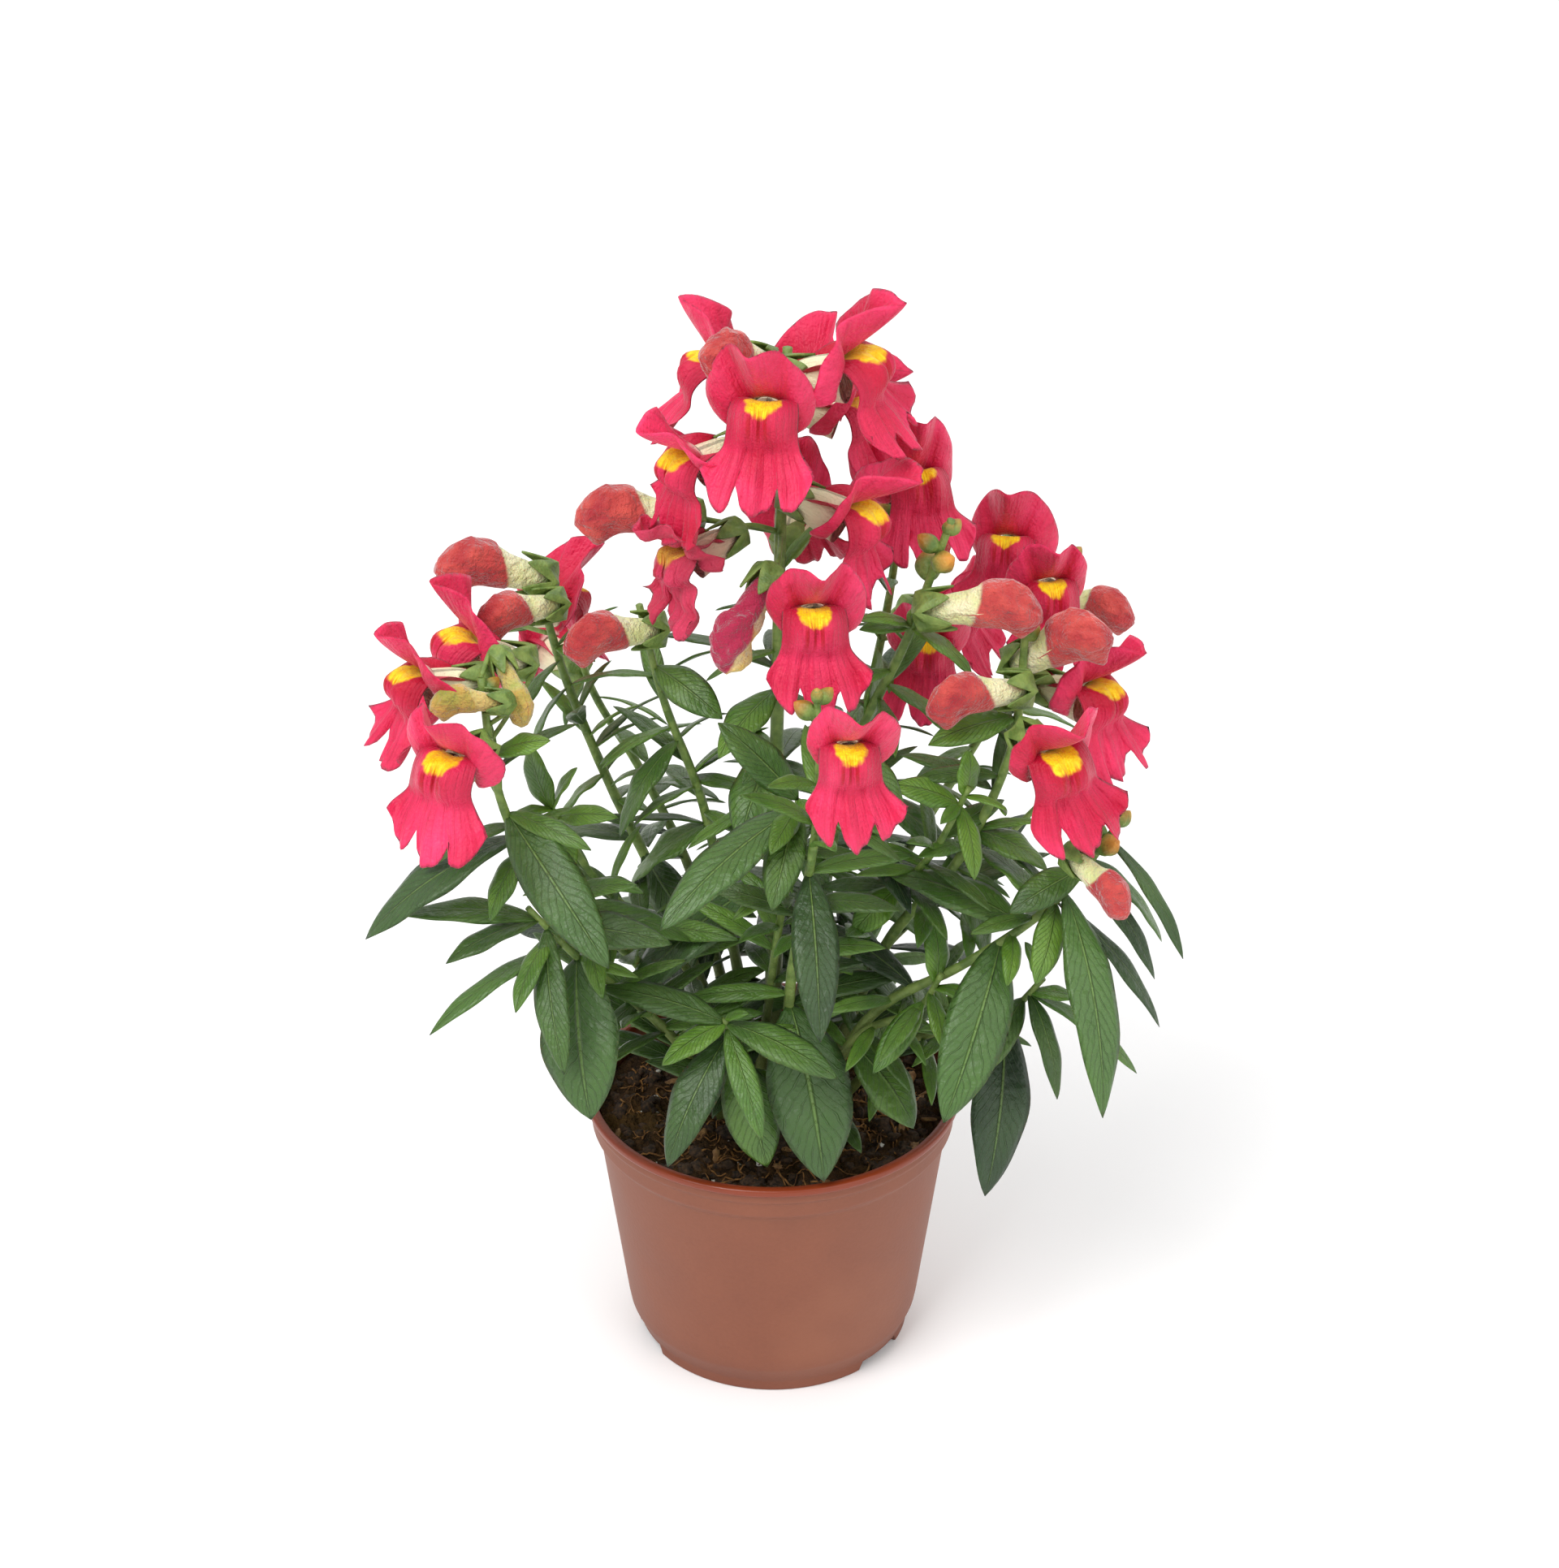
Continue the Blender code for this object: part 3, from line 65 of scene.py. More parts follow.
# each stem's place in the soil, thickness at root and tip, young buds at its end, leaves that
# the front view hides, route (x px, y px, mm behind the pot's axis) and leaves that it shows
# (base x px, base y px, tip x px, tip y px, mm nearer, width)
stems = {
    "stem_main": dict(
        root=(0, 0), thick=(5.0, 2.4), tips=5, backLeaves=8,
        route=[(953, 1150, 0), (957, 900, 2), (960, 700, 2), (964, 560, 2), (970, 428, 2)],
        leaves=[(925, 1085, 773, 1231, 16, 20), (950, 920, 912, 1037, 6, 16), (948, 850, 885, 935, 8, 12),
                (958, 1120, 1130, 1215, 4, 15), (957, 1010, 1040, 1110, -6, 12)],
    ),
    "stem_left_back": dict(
        root=(-9, 6), thick=(3.8, 2.0), tips=4, backLeaves=6,
        route=[(840, 1150, 15), (770, 1010, 25), (715, 880, 25), (680, 790, 22), (657, 700, 20)],
        leaves=[(680, 795, 733, 815, 4, 8), (765, 1060, 864, 1163, 10, 12), (745, 960, 690, 1010, 4, 9),
                (725, 905, 790, 868, 2, 9), (755, 985, 800, 1000, 2, 7), (700, 850, 655, 925, -4, 8)],
    ),
    "stem_left_front": dict(
        root=(-9, -5), thick=(3.8, 2.0), tips=4, backLeaves=3,
        route=[(800, 1200, -15), (690, 1110, -30), (625, 1010, -40), (604, 910, -40), (592, 835, -40)],
        leaves=[(618, 1005, 750, 1193, 14, 16), (604, 1060, 604, 1135, 3, 9),
                (612, 1042, 450, 1157, -4, 16), (600, 1030, 518, 1072, -3, 8), (608, 925, 678, 912, 2, 8)],
    ),
    "stem_left_mid": dict(
        root=(-4, 10), thick=(3.6, 1.9), tips=4, backLeaves=6,
        route=[(900, 1150, 8), (868, 1000, 10), (835, 900, 10), (805, 835, 8), (787, 745, 6)],
        leaves=[(822, 865, 876, 1003, 12, 12), (808, 815, 890, 885, 8, 11), (812, 850, 742, 882, 4, 7),
                (870, 1010, 776, 1090, -4, 18), (835, 905, 764, 1032, 6, 11), (830, 895, 738, 943, -2, 7)],
    ),
    "stem_right_mid": dict(
        root=(7, 4), thick=(4.2, 2.0), tips=5, backLeaves=5,
        route=[(1000, 1200, 2), (1040, 960, 0), (1085, 838, -4), (1130, 765, -6), (1172, 640, -8)],
        leaves=[(1045, 890, 1078, 800, 6, 9), (1128, 765, 1058, 776, 6, 6), (1133, 775, 1197, 832, 6, 9),
                (1085, 845, 1186, 915, 4, 10), (1045, 960, 1190, 1063, 10, 12),
                (1035, 1000, 1155, 1128, 16, 12), (1020, 1080, 1138, 1158, 2, 11)],
    ),
    "stem_back_right": dict(
        root=(4, 11), thick=(3.6, 1.9), tips=4, backLeaves=6,
        route=[(1010, 1100, 30), (1060, 900, 45), (1090, 760, 52), (1105, 680, 50), (1112, 600, 46)],
        leaves=[(1085, 780, 1030, 730, -2, 7), (1075, 830, 1150, 850, 2, 9)],
    ),
    "stem_right_front": dict(
        root=(12, -2), thick=(3.8, 2.0), tips=4, backLeaves=4,
        route=[(1080, 1180, -10), (1180, 1060, -20), (1235, 950, -18), (1258, 870, -14), (1264, 770, -12)],
        leaves=[(1250, 880, 1143, 918, 4, 10), (1225, 965, 1108, 930, -2, 9),
                (1205, 1020, 1290, 1072, 6, 13), (1170, 1070, 1216, 1185, -4, 10),
                (1240, 935, 1300, 905, -4, 7)],
    ),
    "stem_right_back": dict(
        root=(10, 8), thick=(3.6, 1.9), tips=4, backLeaves=6,
        route=[(1060, 1150, 25), (1180, 950, 50), (1260, 820, 58), (1300, 740, 60), (1322, 675, 60)],
        leaves=[(1230, 870, 1330, 900, 0, 10)],
    ),
    "stem_right_low": dict(
        root=(13, -8), thick=(3.6, 1.8), tips=5, backLeaves=2,
        route=[(1060, 1260, -25), (1200, 1180, -35), (1300, 1110, -35), (1350, 1050, -32), (1385, 1005, -30)],
        leaves=[(1335, 1072, 1242, 1125, 6, 10), (1300, 1112, 1275, 1213, 8, 9),
                (1372, 1035, 1457, 1181, 4, 7), (1312, 1100, 1358, 1377, 10, 15),
                (1335, 1075, 1422, 1206, -2, 8), (1345, 1060, 1431, 1160, -12, 9),
                (1240, 1160, 1162, 1383, 8, 18), (1262, 1135, 1105, 1055, -6, 14),
                (1255, 1150, 1240, 1215, 8, 6), (1290, 1115, 1205, 1045, -12, 12),
                (1300, 1110, 1428, 1265, -10, 8)],
    ),
    "stem_front": dict(
        root=(3, -9), thick=(3.6, 1.8), tips=3, backLeaves=0,
        route=[(975, 1200, -30), (1000, 1060, -45), (1010, 960, -48), (1012, 900, -50), (1006, 850, -50)],
        leaves=[(1003, 1080, 1010, 1284, 14, 13), (1013, 905, 1115, 1000, -6, 12),
                (1008, 990, 1098, 1030, 0, 8), (968, 1240, 1015, 1455, 3, 24)],
    ),
    "stem_back_left": dict(
        root=(-8, 12), thick=(3.6, 1.8), tips=4, backLeaves=6,
        route=[(860, 1100, 40), (790, 950, 60), (730, 850, 62), (705, 790, 60), (700, 735, 58)],
        leaves=[],
    ),
    "shoot_left_low": dict(
        root=(-14, -6), thick=(3.4, 1.6), tips=0, backLeaves=1,
        route=[(840, 1290, -22), (740, 1200, -35), (668, 1150, -42), (650, 1118, -42)],
        leaves=[(655, 1138, 495, 1128, -2, 9), (655, 1142, 549, 1187, 6, 9), (690, 1165, 529, 1275, 8, 8),
                (672, 1152, 636, 1251, 8, 8), (663, 1146, 695, 1321, 10, 10),
                (672, 1148, 828, 1163, 8, 11), (712, 1180, 728, 1379, 4, 23)],
    ),
    "shoot_front": dict(
        root=(-3, -13), thick=(3.2, 1.6), tips=0, backLeaves=0,
        route=[(915, 1330, -30), (897, 1285, -38), (893, 1255, -40)],
        leaves=[(893, 1256, 951, 1158, 2, 9.5), (890, 1262, 815, 1312, 5, 9),
                (893, 1262, 1032, 1329, 8, 11), (893, 1266, 939, 1405, 8, 8),
                (893, 1275, 822, 1437, 2, 13.5), (895, 1262, 735, 1222, -2, 10),
                (893, 1256, 925, 1250, 6, 3.5), (905, 1300, 945, 1437, -3, 16),
                (900, 1300, 872, 1425, -4, 12)],
    ),
    "shoot_centre": dict(
        root=(-5, -6), thick=(3.2, 1.6), tips=0, backLeaves=0,
        route=[(955, 1170, -22), (976, 1050, -30), (983, 985, -34)],
        leaves=[(983, 988, 884, 890, 6, 11), (975, 1000, 813, 1146, 15, 15), (983, 995, 972, 1125, 9, 11),
                (983, 992, 948, 1058, 12, 7), (983, 985, 1010, 1020, 10, 6)],
    ),
    "shoot_right_low": dict(
        root=(9, -13), thick=(3.2, 1.6), tips=0, backLeaves=1,
        route=[(1040, 1290, -25), (1110, 1250, -32), (1156, 1234, -36), (1160, 1200, -37)],
        leaves=[(1157, 1215, 1147, 1130, 1, 9.5), (1150, 1240, 1075, 1322, 5, 8),
                (1157, 1234, 1161, 1292, 6, 6), (1157, 1225, 1215, 1235, 2, 6),
                (1050, 1288, 1125, 1390, 4, 16)],
    ),
    "shoot_right_far": dict(
        root=(17, -3), thick=(3.2, 1.6), tips=0, backLeaves=2,
        route=[(1100, 1290, -15), (1200, 1260, -28), (1272, 1240, -34), (1285, 1205, -34)],
        leaves=[(1270, 1240, 1190, 1335, 7, 10), (1280, 1240, 1302, 1354, 6, 8),
                (1240, 1250, 1213, 1473, 4, 17), (1280, 1232, 1335, 1232, 2, 6),
                (1278, 1236, 1400, 1322, -8, 8), (1283, 1215, 1262, 1160, 4, 7)],
    ),
    "shoot_left_mid": dict(
        root=(-14, 2), thick=(3.2, 1.6), tips=0, backLeaves=2,
        route=[(850, 1200, -5), (760, 1110, -15), (698, 1040, -20), (681, 998, -22)],
        leaves=[(681, 1003, 652, 913, 4, 8.5), (682, 1003, 711, 945, 6, 6), (681, 1003, 633, 1003, 5, 5),
                (683, 1005, 761, 1007, 8, 7), (682, 1020, 704, 1092, 8, 8), (735, 1080, 741, 1140, 8, 12)],
    ),
    "shoot_right_mid": dict(
        root=(6, -5), thick=(3.2, 1.6), tips=0, backLeaves=1,
        route=[(1050, 1160, -12), (1150, 1050, -26), (1190, 998, -30), (1194, 970, -30)],
        leaves=[(1192, 988, 1192, 925, 3, 9), (1193, 995, 1200, 1084, 7, 7.5),
                (1185, 998, 1100, 967, 3, 10), (1194, 985, 1240, 998, 5, 4), (1188, 998, 1158, 1015, 8, 4),
                (1110, 1100, 1050, 1150, 4, 10)],
    ),
    "shoot_back": dict(
        root=(0, 16), thick=(3.4, 1.6), tips=0, backLeaves=7,
        route=[(960, 1100, 45), (955, 950, 70), (958, 870, 78)],
        leaves=[],
    ),
    "shoot_back_far_right": dict(
        root=(15, 10), thick=(3.4, 1.6), tips=0, backLeaves=6,
        route=[(1080, 1180, 25), (1210, 1060, 45), (1290, 980, 52)],
        leaves=[],
    ),
}

# open blooms: stem, place of the throat (x px, y px, mm behind the axis), the way it faces
# (azimuth, pitch, roll) and height
blooms = {
    "bloom_top_left": ("stem_main", (868, 472, 8), (-95, 14, 0), 36),
    "bloom_top_centre": ("stem_main", (940, 530, -26), (-8, 6, 0), 39),
    "bloom_upper_left": ("stem_main", (846, 584, -20), (-62, -18, 8), 34),
    "bloom_faded_left": ("stem_main", (842, 700, -18), (-58, -22, 0), 33),
    "bloom_top_right": ("stem_main", (1060, 468, -6), (72, 4, -6), 40),
    "bloom_top_right_under": ("stem_main", (1046, 522, 20), (78, -14, 0), 34),
    "bloom_mid_right": ("stem_main", (1052, 652, -14), (64, -20, 0), 38),
    "bloom_main_back": ("stem_main", (985, 640, 32), (168, -4, 0), 34),
    "bloom_top_back": ("stem_main", (1008, 474, 30), (150, 0, 0), 30),
    "bloom_centre": ("stem_main", (1003, 782, -34), (6, 0, 0), 37),
    "bloom_left_upper": ("stem_left_front", (566, 812, -26), (-58, 14, 6), 37),
    "bloom_left_outer": ("stem_left_front", (512, 856, -40), (-66, -2, 0), 35),
    "bloom_left_front": ("stem_left_front", (548, 962, -66), (-24, 0, 6), 37),
    "bloom_left_behind": ("stem_left_back", (694, 748, 42), (120, -6, 0), 33),
    "bloom_back_tall": ("stem_back_right", (1132, 612, 30), (16, 16, 0), 37),
    "bloom_back_right": ("stem_right_back", (1238, 690, 48), (-10, 16, 0), 35),
    "bloom_right_upper": ("stem_right_back", (1294, 744, 36), (10, 2, 0), 33),
    "bloom_right_outer": ("stem_right_front", (1350, 872, -4), (50, -3, 2), 37),
    "bloom_right_front": ("stem_right_front", (1306, 955, -44), (26, -8, -12), 38),
    "bloom_front": ("stem_front", (1046, 948, -74), (6, -4, 0), 34),
    "bloom_back_low": ("stem_back_right", (1142, 812, 38), (-6, 0, 0), 33),
    "bloom_back_side": ("stem_back_right", (1186, 762, 56), (70, 0, 0), 33),
    "bloom_back_left": ("stem_back_left", (668, 800, 78), (-140, 0, 0), 33),
}

# closed buds, placed and turned as the blooms are; the size is the length
buds = {
    "bud_top": ("stem_main", (893, 432, -14), (-50, 28, 0), 25),
    "bud_upper_left": ("stem_main", (752, 628, -8), (-82, 10, 0), 30),
    "bud_withered": ("stem_main", (902, 788, -30), (-42, -42, 0), 27),
    "bud_left_large": ("stem_left_back", (580, 692, 10), (-72, 22, 0), 30),
    "bud_left_small": ("stem_left_back", (616, 756, 6), (-52, 8, 0), 25),
    "bud_left_tip": ("stem_left_front", (556, 862, -46), (-76, 10, 0), 18),
    "bud_left_green": ("stem_left_front", (640, 868, -42), (35, -48, 0), 18),
    "bud_mid_left": ("stem_left_mid", (730, 782, -8), (-58, 10, 0), 27),
    "bud_back": ("stem_back_right", (1148, 660, 26), (30, 10, 0), 23),
    "bud_right_far": ("stem_right_back", (1366, 748, 48), (56, 8, 0), 25),
    "bud_right_long": ("stem_right_mid", (1240, 745, -14), (78, 10, 0), 30),
    "bud_right_tall": ("stem_right_front", (1326, 782, -16), (58, 38, 0), 31),
    "bud_right_inner": ("stem_right_front", (1178, 858, -26), (-66, 6, 0), 27),
    "bud_right_low": ("stem_right_low", (1370, 1100, -52), (40, -16, 0), 22),
}

# sideTries is how many small leaves each stem tries to hold; those that would run into something are left out
leaf = dict(arch=0.16, keel=0.10, thick=0.7, along=24, across=9, curl=0.10, wave=0.035, sideTries=30)
bloom = dict(size=38.0, throatR=6.0, reach=19.0, thick=0.7, upperColumns=49, upperRows=22, lowerColumns=45,
             lowerRows=32, tubeLong=15.5, tubeRings=20, tubeSides=28)
bud = dict(size=28.0, reach=20.0)
calyx = dict(radius=5.2, length=6.5, floor=3.0, clear=0.35, stalk=0.8)
youngBuds = dict(size=3.6, growth=0.9, slender=1.6)
lights = dict(keyLight=((-0.8, -1.0, 1.8), 1.2, 32), fillLight=((1.5, -1.0, 1.2), 1.8, 14),
              backLight=((0.2, 1.4, 1.6), 1.8, 12))
studio = dict(floorSize=4.0, floorGrey=0.93, worldStrength=0.68, sensor=36, lookAt=0.15)
spiral = math.radians(137.5)

up = np.array([0.0, 0.0, 1.0])
eye = np.array(camera["eye"])
tilt = math.radians(camera["pitch"])
ahead = np.array([0, math.cos(tilt), -math.sin(tilt)])
viewUp = np.array([0, math.sin(tilt), math.cos(tilt)])


# places

def unit(v):
    return v / np.linalg.norm(v, axis=-1, keepdims=True)


def sight(xPx, yPx):
    # the line of sight through a pixel, one unit deep
    x = (xPx - camera["middlePx"][0]) / camera["focusPx"]
    y = (camera["middlePx"][1] - yPx) / camera["focusPx"]
    return ahead + np.array([x, 0, 0]) + viewUp * y


def seen(xPx, yPx, back):
    line = sight(xPx, yPx)
    return eye + line * ((back - eye[1]) / line[1])


def shownAt(points):
    lines = points - eye
    depth = lines @ ahead
    across = camera["middlePx"][0] + lines[:, 0] / depth * camera["focusPx"]
    down = camera["middlePx"][1] - (lines @ viewUp) / depth * camera["focusPx"]
    return np.stack([across, down], axis=-1)


def smoothRoute(points, steps):
    # a Catmull-Rom curve through the points, then evenly spaced points along it
    ends = np.array([2 * points[0] - points[1], *points, 2 * points[-1] - points[-2]])
    t = np.arange(12)[:, None, None] / 12
    a, b, c, d = ends[:-3], ends[1:-2], ends[2:-1], ends[3:]
    square, cube = 2 * a - 5 * b + 4 * c - d, 3 * b - a - 3 * c + d
    curve = 0.5 * (2 * b + (c - a) * t + square * t ** 2 + cube * t ** 3)
    curve = np.vstack([curve.transpose(1, 0, 2).reshape(-1, 3), points[-1]])
    return evenly(curve, steps)


def evenly(curve, steps):
    run = np.concatenate([[0], np.cumsum(np.linalg.norm(np.diff(curve, axis=0), axis=1))])
    at = np.linspace(0, run[-1], steps)
    return np.stack([np.interp(at, run, curve[:, i]) for i in range(3)], axis=-1)


def stemRoute(spec):
    root = np.array([*spec["root"], soil["topZ"]], float)
    bends = smoothRoute(np.array([root, *[seen(*place) for place in spec["route"]]]), 6)
    return np.vstack([root - up * 9.0, bends])


def fine(route):
    # many points along the straight runs of a route, above the soil
    p, q = route[1:-1, None], route[2:, None]
    t = np.arange(8)[None, :, None] / 8
    return np.vstack([(p + (q - p) * t).reshape(-1, 3), route[-1]])


def facing(azimuth, pitch, roll):
    a, e, r = np.radians([azimuth, pitch, roll])
    forward = np.array([math.sin(a) * math.cos(e), -math.cos(a) * math.cos(e), math.sin(e)])
    side = unit(np.cross(forward, up))
    top = np.cross(side, forward)
    return np.array([forward, side * math.cos(r) + top * math.sin(r), top * math.cos(r) - side * math.sin(r)])


def nodePoints(node):
    co = np.empty(len(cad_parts[node].data.vertices) * 3)
    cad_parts[node].data.vertices.foreach_get("co", co)
    return co.reshape(-1, 3) / mm - potAxis


def flowerPlace(name, spec, full, reach, local):
    # a flower's tube foot, axes and scale; the depth is the one at which the solid's own
    # corner `local` (x, y, z in the flower's frame) is found
    _, (xPx, yPx, back), turn, size = spec
    scale = size / full
    cloud = nodePoints(name)
    best = None
    for swing in (0, 8, -8, 16, -16):
        axes = facing(turn[0] + swing, turn[1], turn[2])
        for shift in (0, 2, -2, 4, -4, 7, -7, 10, -10, 14, -14):
            origin = seen(xPx, yPx, back + shift) - axes[0] * (reach * scale)
            corners = origin + np.array(local) @ axes * scale
            miss = max(np.min(np.linalg.norm(cloud - corner, axis=1)) for corner in corners)
            if best is None or miss < best[0] - 1e-4:
                best = (miss, origin, axes)
    if best[0] > 0.1:
        print("flower place not found in the solid:", name, round(best[0], 2))
    return best[1], best[2], scale


def leafWanted(name, spec, route, draw):
    # bases, tips and widths of a stem's leaves before they were bent clear
    line = fine(route)
    rows = []
    for bx, by, tx, ty, nearer, width in spec["leaves"]:
        base = line[np.argmin(np.linalg.norm(shownAt(line) - (bx, by), axis=1))]
        tip = eye + sight(tx, ty) * ((base - eye) @ ahead - nearer)
        rows.append((base, tip, width, 0.0))
    count = spec["backLeaves"]
    for k in range(count):
        share = 0.24 + 0.5 * k / max(count, 1)
        base = line[int(share * (len(line) - 1))]
        turn = math.radians(90) + math.sin(spiral * k) * math.radians(80)
        length = draw.uniform(34.0, 52.0) * (1 - 0.35 * share)
        rise = draw.uniform(-0.5, 0.35)
        tip = base + unit(np.array([math.cos(turn), math.sin(turn), rise])) * length
        # the last value, 1.0, darkens this hidden back leaf as painted shade
        rows.append((base, tip, length * 0.27, 1.0))
    return rows


def leavesOf(name, spec, route, draw):
    # the same leaves where the solid really has their tips; leaves that it left out are dropped
    cloud = nodePoints(name)
    kept = []
    for base, tip, width, back in leafWanted(name, spec, route, draw):
        length = np.linalg.norm(tip - base)
        reach = np.abs(np.linalg.norm(cloud - base, axis=1) - length)
        near = np.linalg.norm(cloud - tip, axis=1) + np.where(reach < 0.06, 0, 1e6)
        if near.min() < length * 0.6:
            kept.append((base, cloud[np.argmin(near)], width, back))
    return kept


def solidCrown():
    # the plant's solids as one tree for ray tests, in millimetres from the pot's axis
    points, faces = [], []
    for name in [*stems, *blooms, *buds, "soil"]:
        start = sum(len(part) for part in points)
        points.append(nodePoints(name))
        faces += [[start + i for i in face.vertices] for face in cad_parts[name].data.polygons]
    return BVHTree.FromPolygons(np.vstack(points).tolist(), faces)


def blocked(crown, base, tip, width):
    # whether a leaf's rib or either of its edges would run through something
    chord = tip - base
    length = float(np.linalg.norm(chord))
    side = unit(np.cross(chord, up)) * width * 0.5
    lift = unit(np.cross(side, chord)) * length * 0.08
    for shift in (0 * side, side, -side):
        for a, b in ((0.12, 0.5), (0.5, 0.8), (0.8, 1.06)):
            start = base + chord * a + (shift + lift) * (1 if a < 0.8 else 0.6)
            end = base + chord * b + (shift + lift) * (1 if b < 0.9 else 0.1)
            reach = float(np.linalg.norm(end - start))
            if crown.ray_cast(Vector(start), Vector((end - start) / reach), reach)[0] is not None:
                return True
    return False


def sideLeaves(crown, route, count, seed):
    # small leaves that fill the crown: they leave the stem at 137.5 degree turns between the
    # soil and the flowers, shorter towards the top
    line = fine(route)
    draw = np.random.default_rng(seed)
    rows = []
    for k in range(count):
        share = 0.12 + 0.76 * (k + 0.5) / count
        base = line[int(share * (len(line) - 1))]
        turn = spiral * k + draw.uniform(-0.4, 0.4)
        length = draw.uniform(22.0, 38.0) * (1 - 0.35 * share)
        heading = unit(np.array([math.cos(turn), math.sin(turn), draw.uniform(-0.35, 0.7)]))
        tip = base + heading * length
        width = length * draw.uniform(0.2, 0.27)
        if np.hypot(*tip[:2]) < 76 and tip[2] > 84 and not blocked(crown, base, tip, width):
            # the last value, 0.6, darkens this filler leaf inside the crown as painted shade
            rows.append((base, tip, width, 0.6))
    return rows


# meshes

def shellGrid(grid, thick):
    # closed shells from sheets (count, rows, columns, 3): each side is the sheet moved half
    # the thickness along its normal, falling to nothing at the rim that both sides share
    count, rows, columns, _ = grid.shape
    normal = unit(np.cross(np.gradient(grid, axis=1), np.gradient(grid, axis=2)) + 1e-9)
    r = np.linspace(0, 1, rows)[:, None]
    c = np.linspace(0, 1, columns)[None, :]
    body = np.sqrt(np.clip(np.minimum(np.minimum(r, 1 - r) * 8, np.minimum(c, 1 - c) * 6), 0, 1))
    lift = normal * (thick / 2 * body)[None, :, :, None]
    inner = np.zeros((rows, columns), bool)
    inner[1:-1, 1:-1] = True
    top = np.arange(rows * columns).reshape(rows, columns)
    under = top.copy()
    under[inner] = rows * columns + np.arange(inner.sum())
    points = np.concatenate([(grid + lift).reshape(count, -1, 3), (grid - lift)[:, inner]], axis=1)
    quads = [np.stack([s[:-1, :-1], s[:-1, 1:], s[1:, 1:], s[1:, :-1]], axis=-1).reshape(-1, 4)
             for s in (top, under)]
    one = np.concatenate([quads[0], quads[1][:, ::-1]])
    each = points.shape[1]
    faces = (one[None] + (np.arange(count) * each)[:, None, None]).reshape(-1, 4)
    uGrid, vGrid = np.meshgrid(np.linspace(0, 1, columns), np.linspace(0, 1, rows))
    u = np.tile(np.concatenate([uGrid.ravel(), uGrid[inner]]), count)
    v = np.tile(np.concatenate([vGrid.ravel(), vGrid[inner]]), count)
    return points.reshape(-1, 3), faces, u, v, each


def tubeGrid(path, radius, sides):
    # a closed tube: rings of `sides` points square to the path, capped by a point at each end
    tangent = unit(np.gradient(path, axis=0))
    ref = np.array([0.0, 1.0, 0.0]) if abs(tangent[0][1]) < 0.9 else np.array([1.0, 0, 0])
    a = unit(ref - tangent * (tangent @ ref)[:, None])
    b = np.cross(tangent, a)
    angle = np.linspace(0, 2 * np.pi, sides, endpoint=False)
    ring = a[:, None] * np.cos(angle)[None, :, None] + b[:, None] * np.sin(angle)[None, :, None]
    r = np.asarray(radius)
    r = r[:, None] if r.ndim == 1 else r
    return capped(path[:, None] + ring * r[..., None], path[0], path[-1])


def capped(rings, first, last):
    # a closed skin over rings (rows, sides, 3), with a point at each end
    rows, sides, _ = rings.shape
    k = np.arange(rows * sides).reshape(rows, sides)
    n = np.roll(k, -1, axis=1)
    quads = np.stack([k[:-1], n[:-1], n[1:], k[1:]], axis=-1).reshape(-1, 4)
    a, b = rows * sides, rows * sides + 1
    ends = np.concatenate([np.stack([n[0], k[0], np.full(sides, a), np.full(sides, a)], -1),
                           np.stack([k[-1], n[-1], np.full(sides, b), np.full(sides, b)], -1)])
    points = np.vstack([rings.reshape(-1, 3), first, last])
    v = np.concatenate([np.repeat(np.linspace(0, 1, rows), sides), [0, 1]])
    u = np.concatenate([np.tile(np.arange(sides) / sides, rows), [0, 0]])
    return points, np.concatenate([quads, ends]), u, v


class Batch:
    # several closed pieces gathered into one mesh, with per-point values
    def __init__(self):
        self.points, self.faces, self.values, self.count = [], [], {}, 0

    def add(self, points, faces, **values):
        self.points.append(points)
        self.faces.append(faces + self.count)
        self.count += len(points)
        for key, value in values.items():
            self.values.setdefault(key, []).append(np.broadcast_to(np.asarray(value, float), len(points)))

    def make(self, name, material, node, slotName, smooth=True):
        points = np.vstack(self.points)
        values = {key: np.concatenate(parts) for key, parts in self.values.items()}
        return meshObject(name, points, np.vstack(self.faces), values, material, node, smooth)


def meshObject(name, points, faces, values, material, node, smooth=True):
    corners = faces[:, :4]
    triangle = corners[:, 2] == corners[:, 3]
    sizes = np.where(triangle, 3, 4)
    starts = np.concatenate([[0], np.cumsum(sizes)[:-1]])
    loops = corners.ravel()[(np.arange(4)[None, :] < sizes[:, None]).ravel()]
    mesh = bpy.data.meshes.new(name)
    mesh.vertices.add(len(points))
    mesh.vertices.foreach_set("co", ((points + potAxis) * mm).ravel())
    mesh.loops.add(len(loops))
    mesh.loops.foreach_set("vertex_index", loops.astype(np.int32))
    mesh.polygons.add(len(sizes))
    mesh.polygons.foreach_set("loop_start", starts.astype(np.int32))
    mesh.polygons.foreach_set("loop_total", sizes.astype(np.int32))
    mesh.update(calc_edges=True)
    mesh.validate()
    for key, value in values.items():
        layer = mesh.attributes.new(key, "FLOAT", "POINT")
        layer.data.foreach_set("value", value.astype(np.float32))
    mesh.polygons.foreach_set("use_smooth", np.full(len(mesh.polygons), smooth))
    mesh.materials.append(material)
    piece = bpy.data.objects.new(name, mesh)
    bpy.context.scene.collection.objects.link(piece)
    if node:
        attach(piece, "root")
        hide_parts(node)
    return piece


# materials

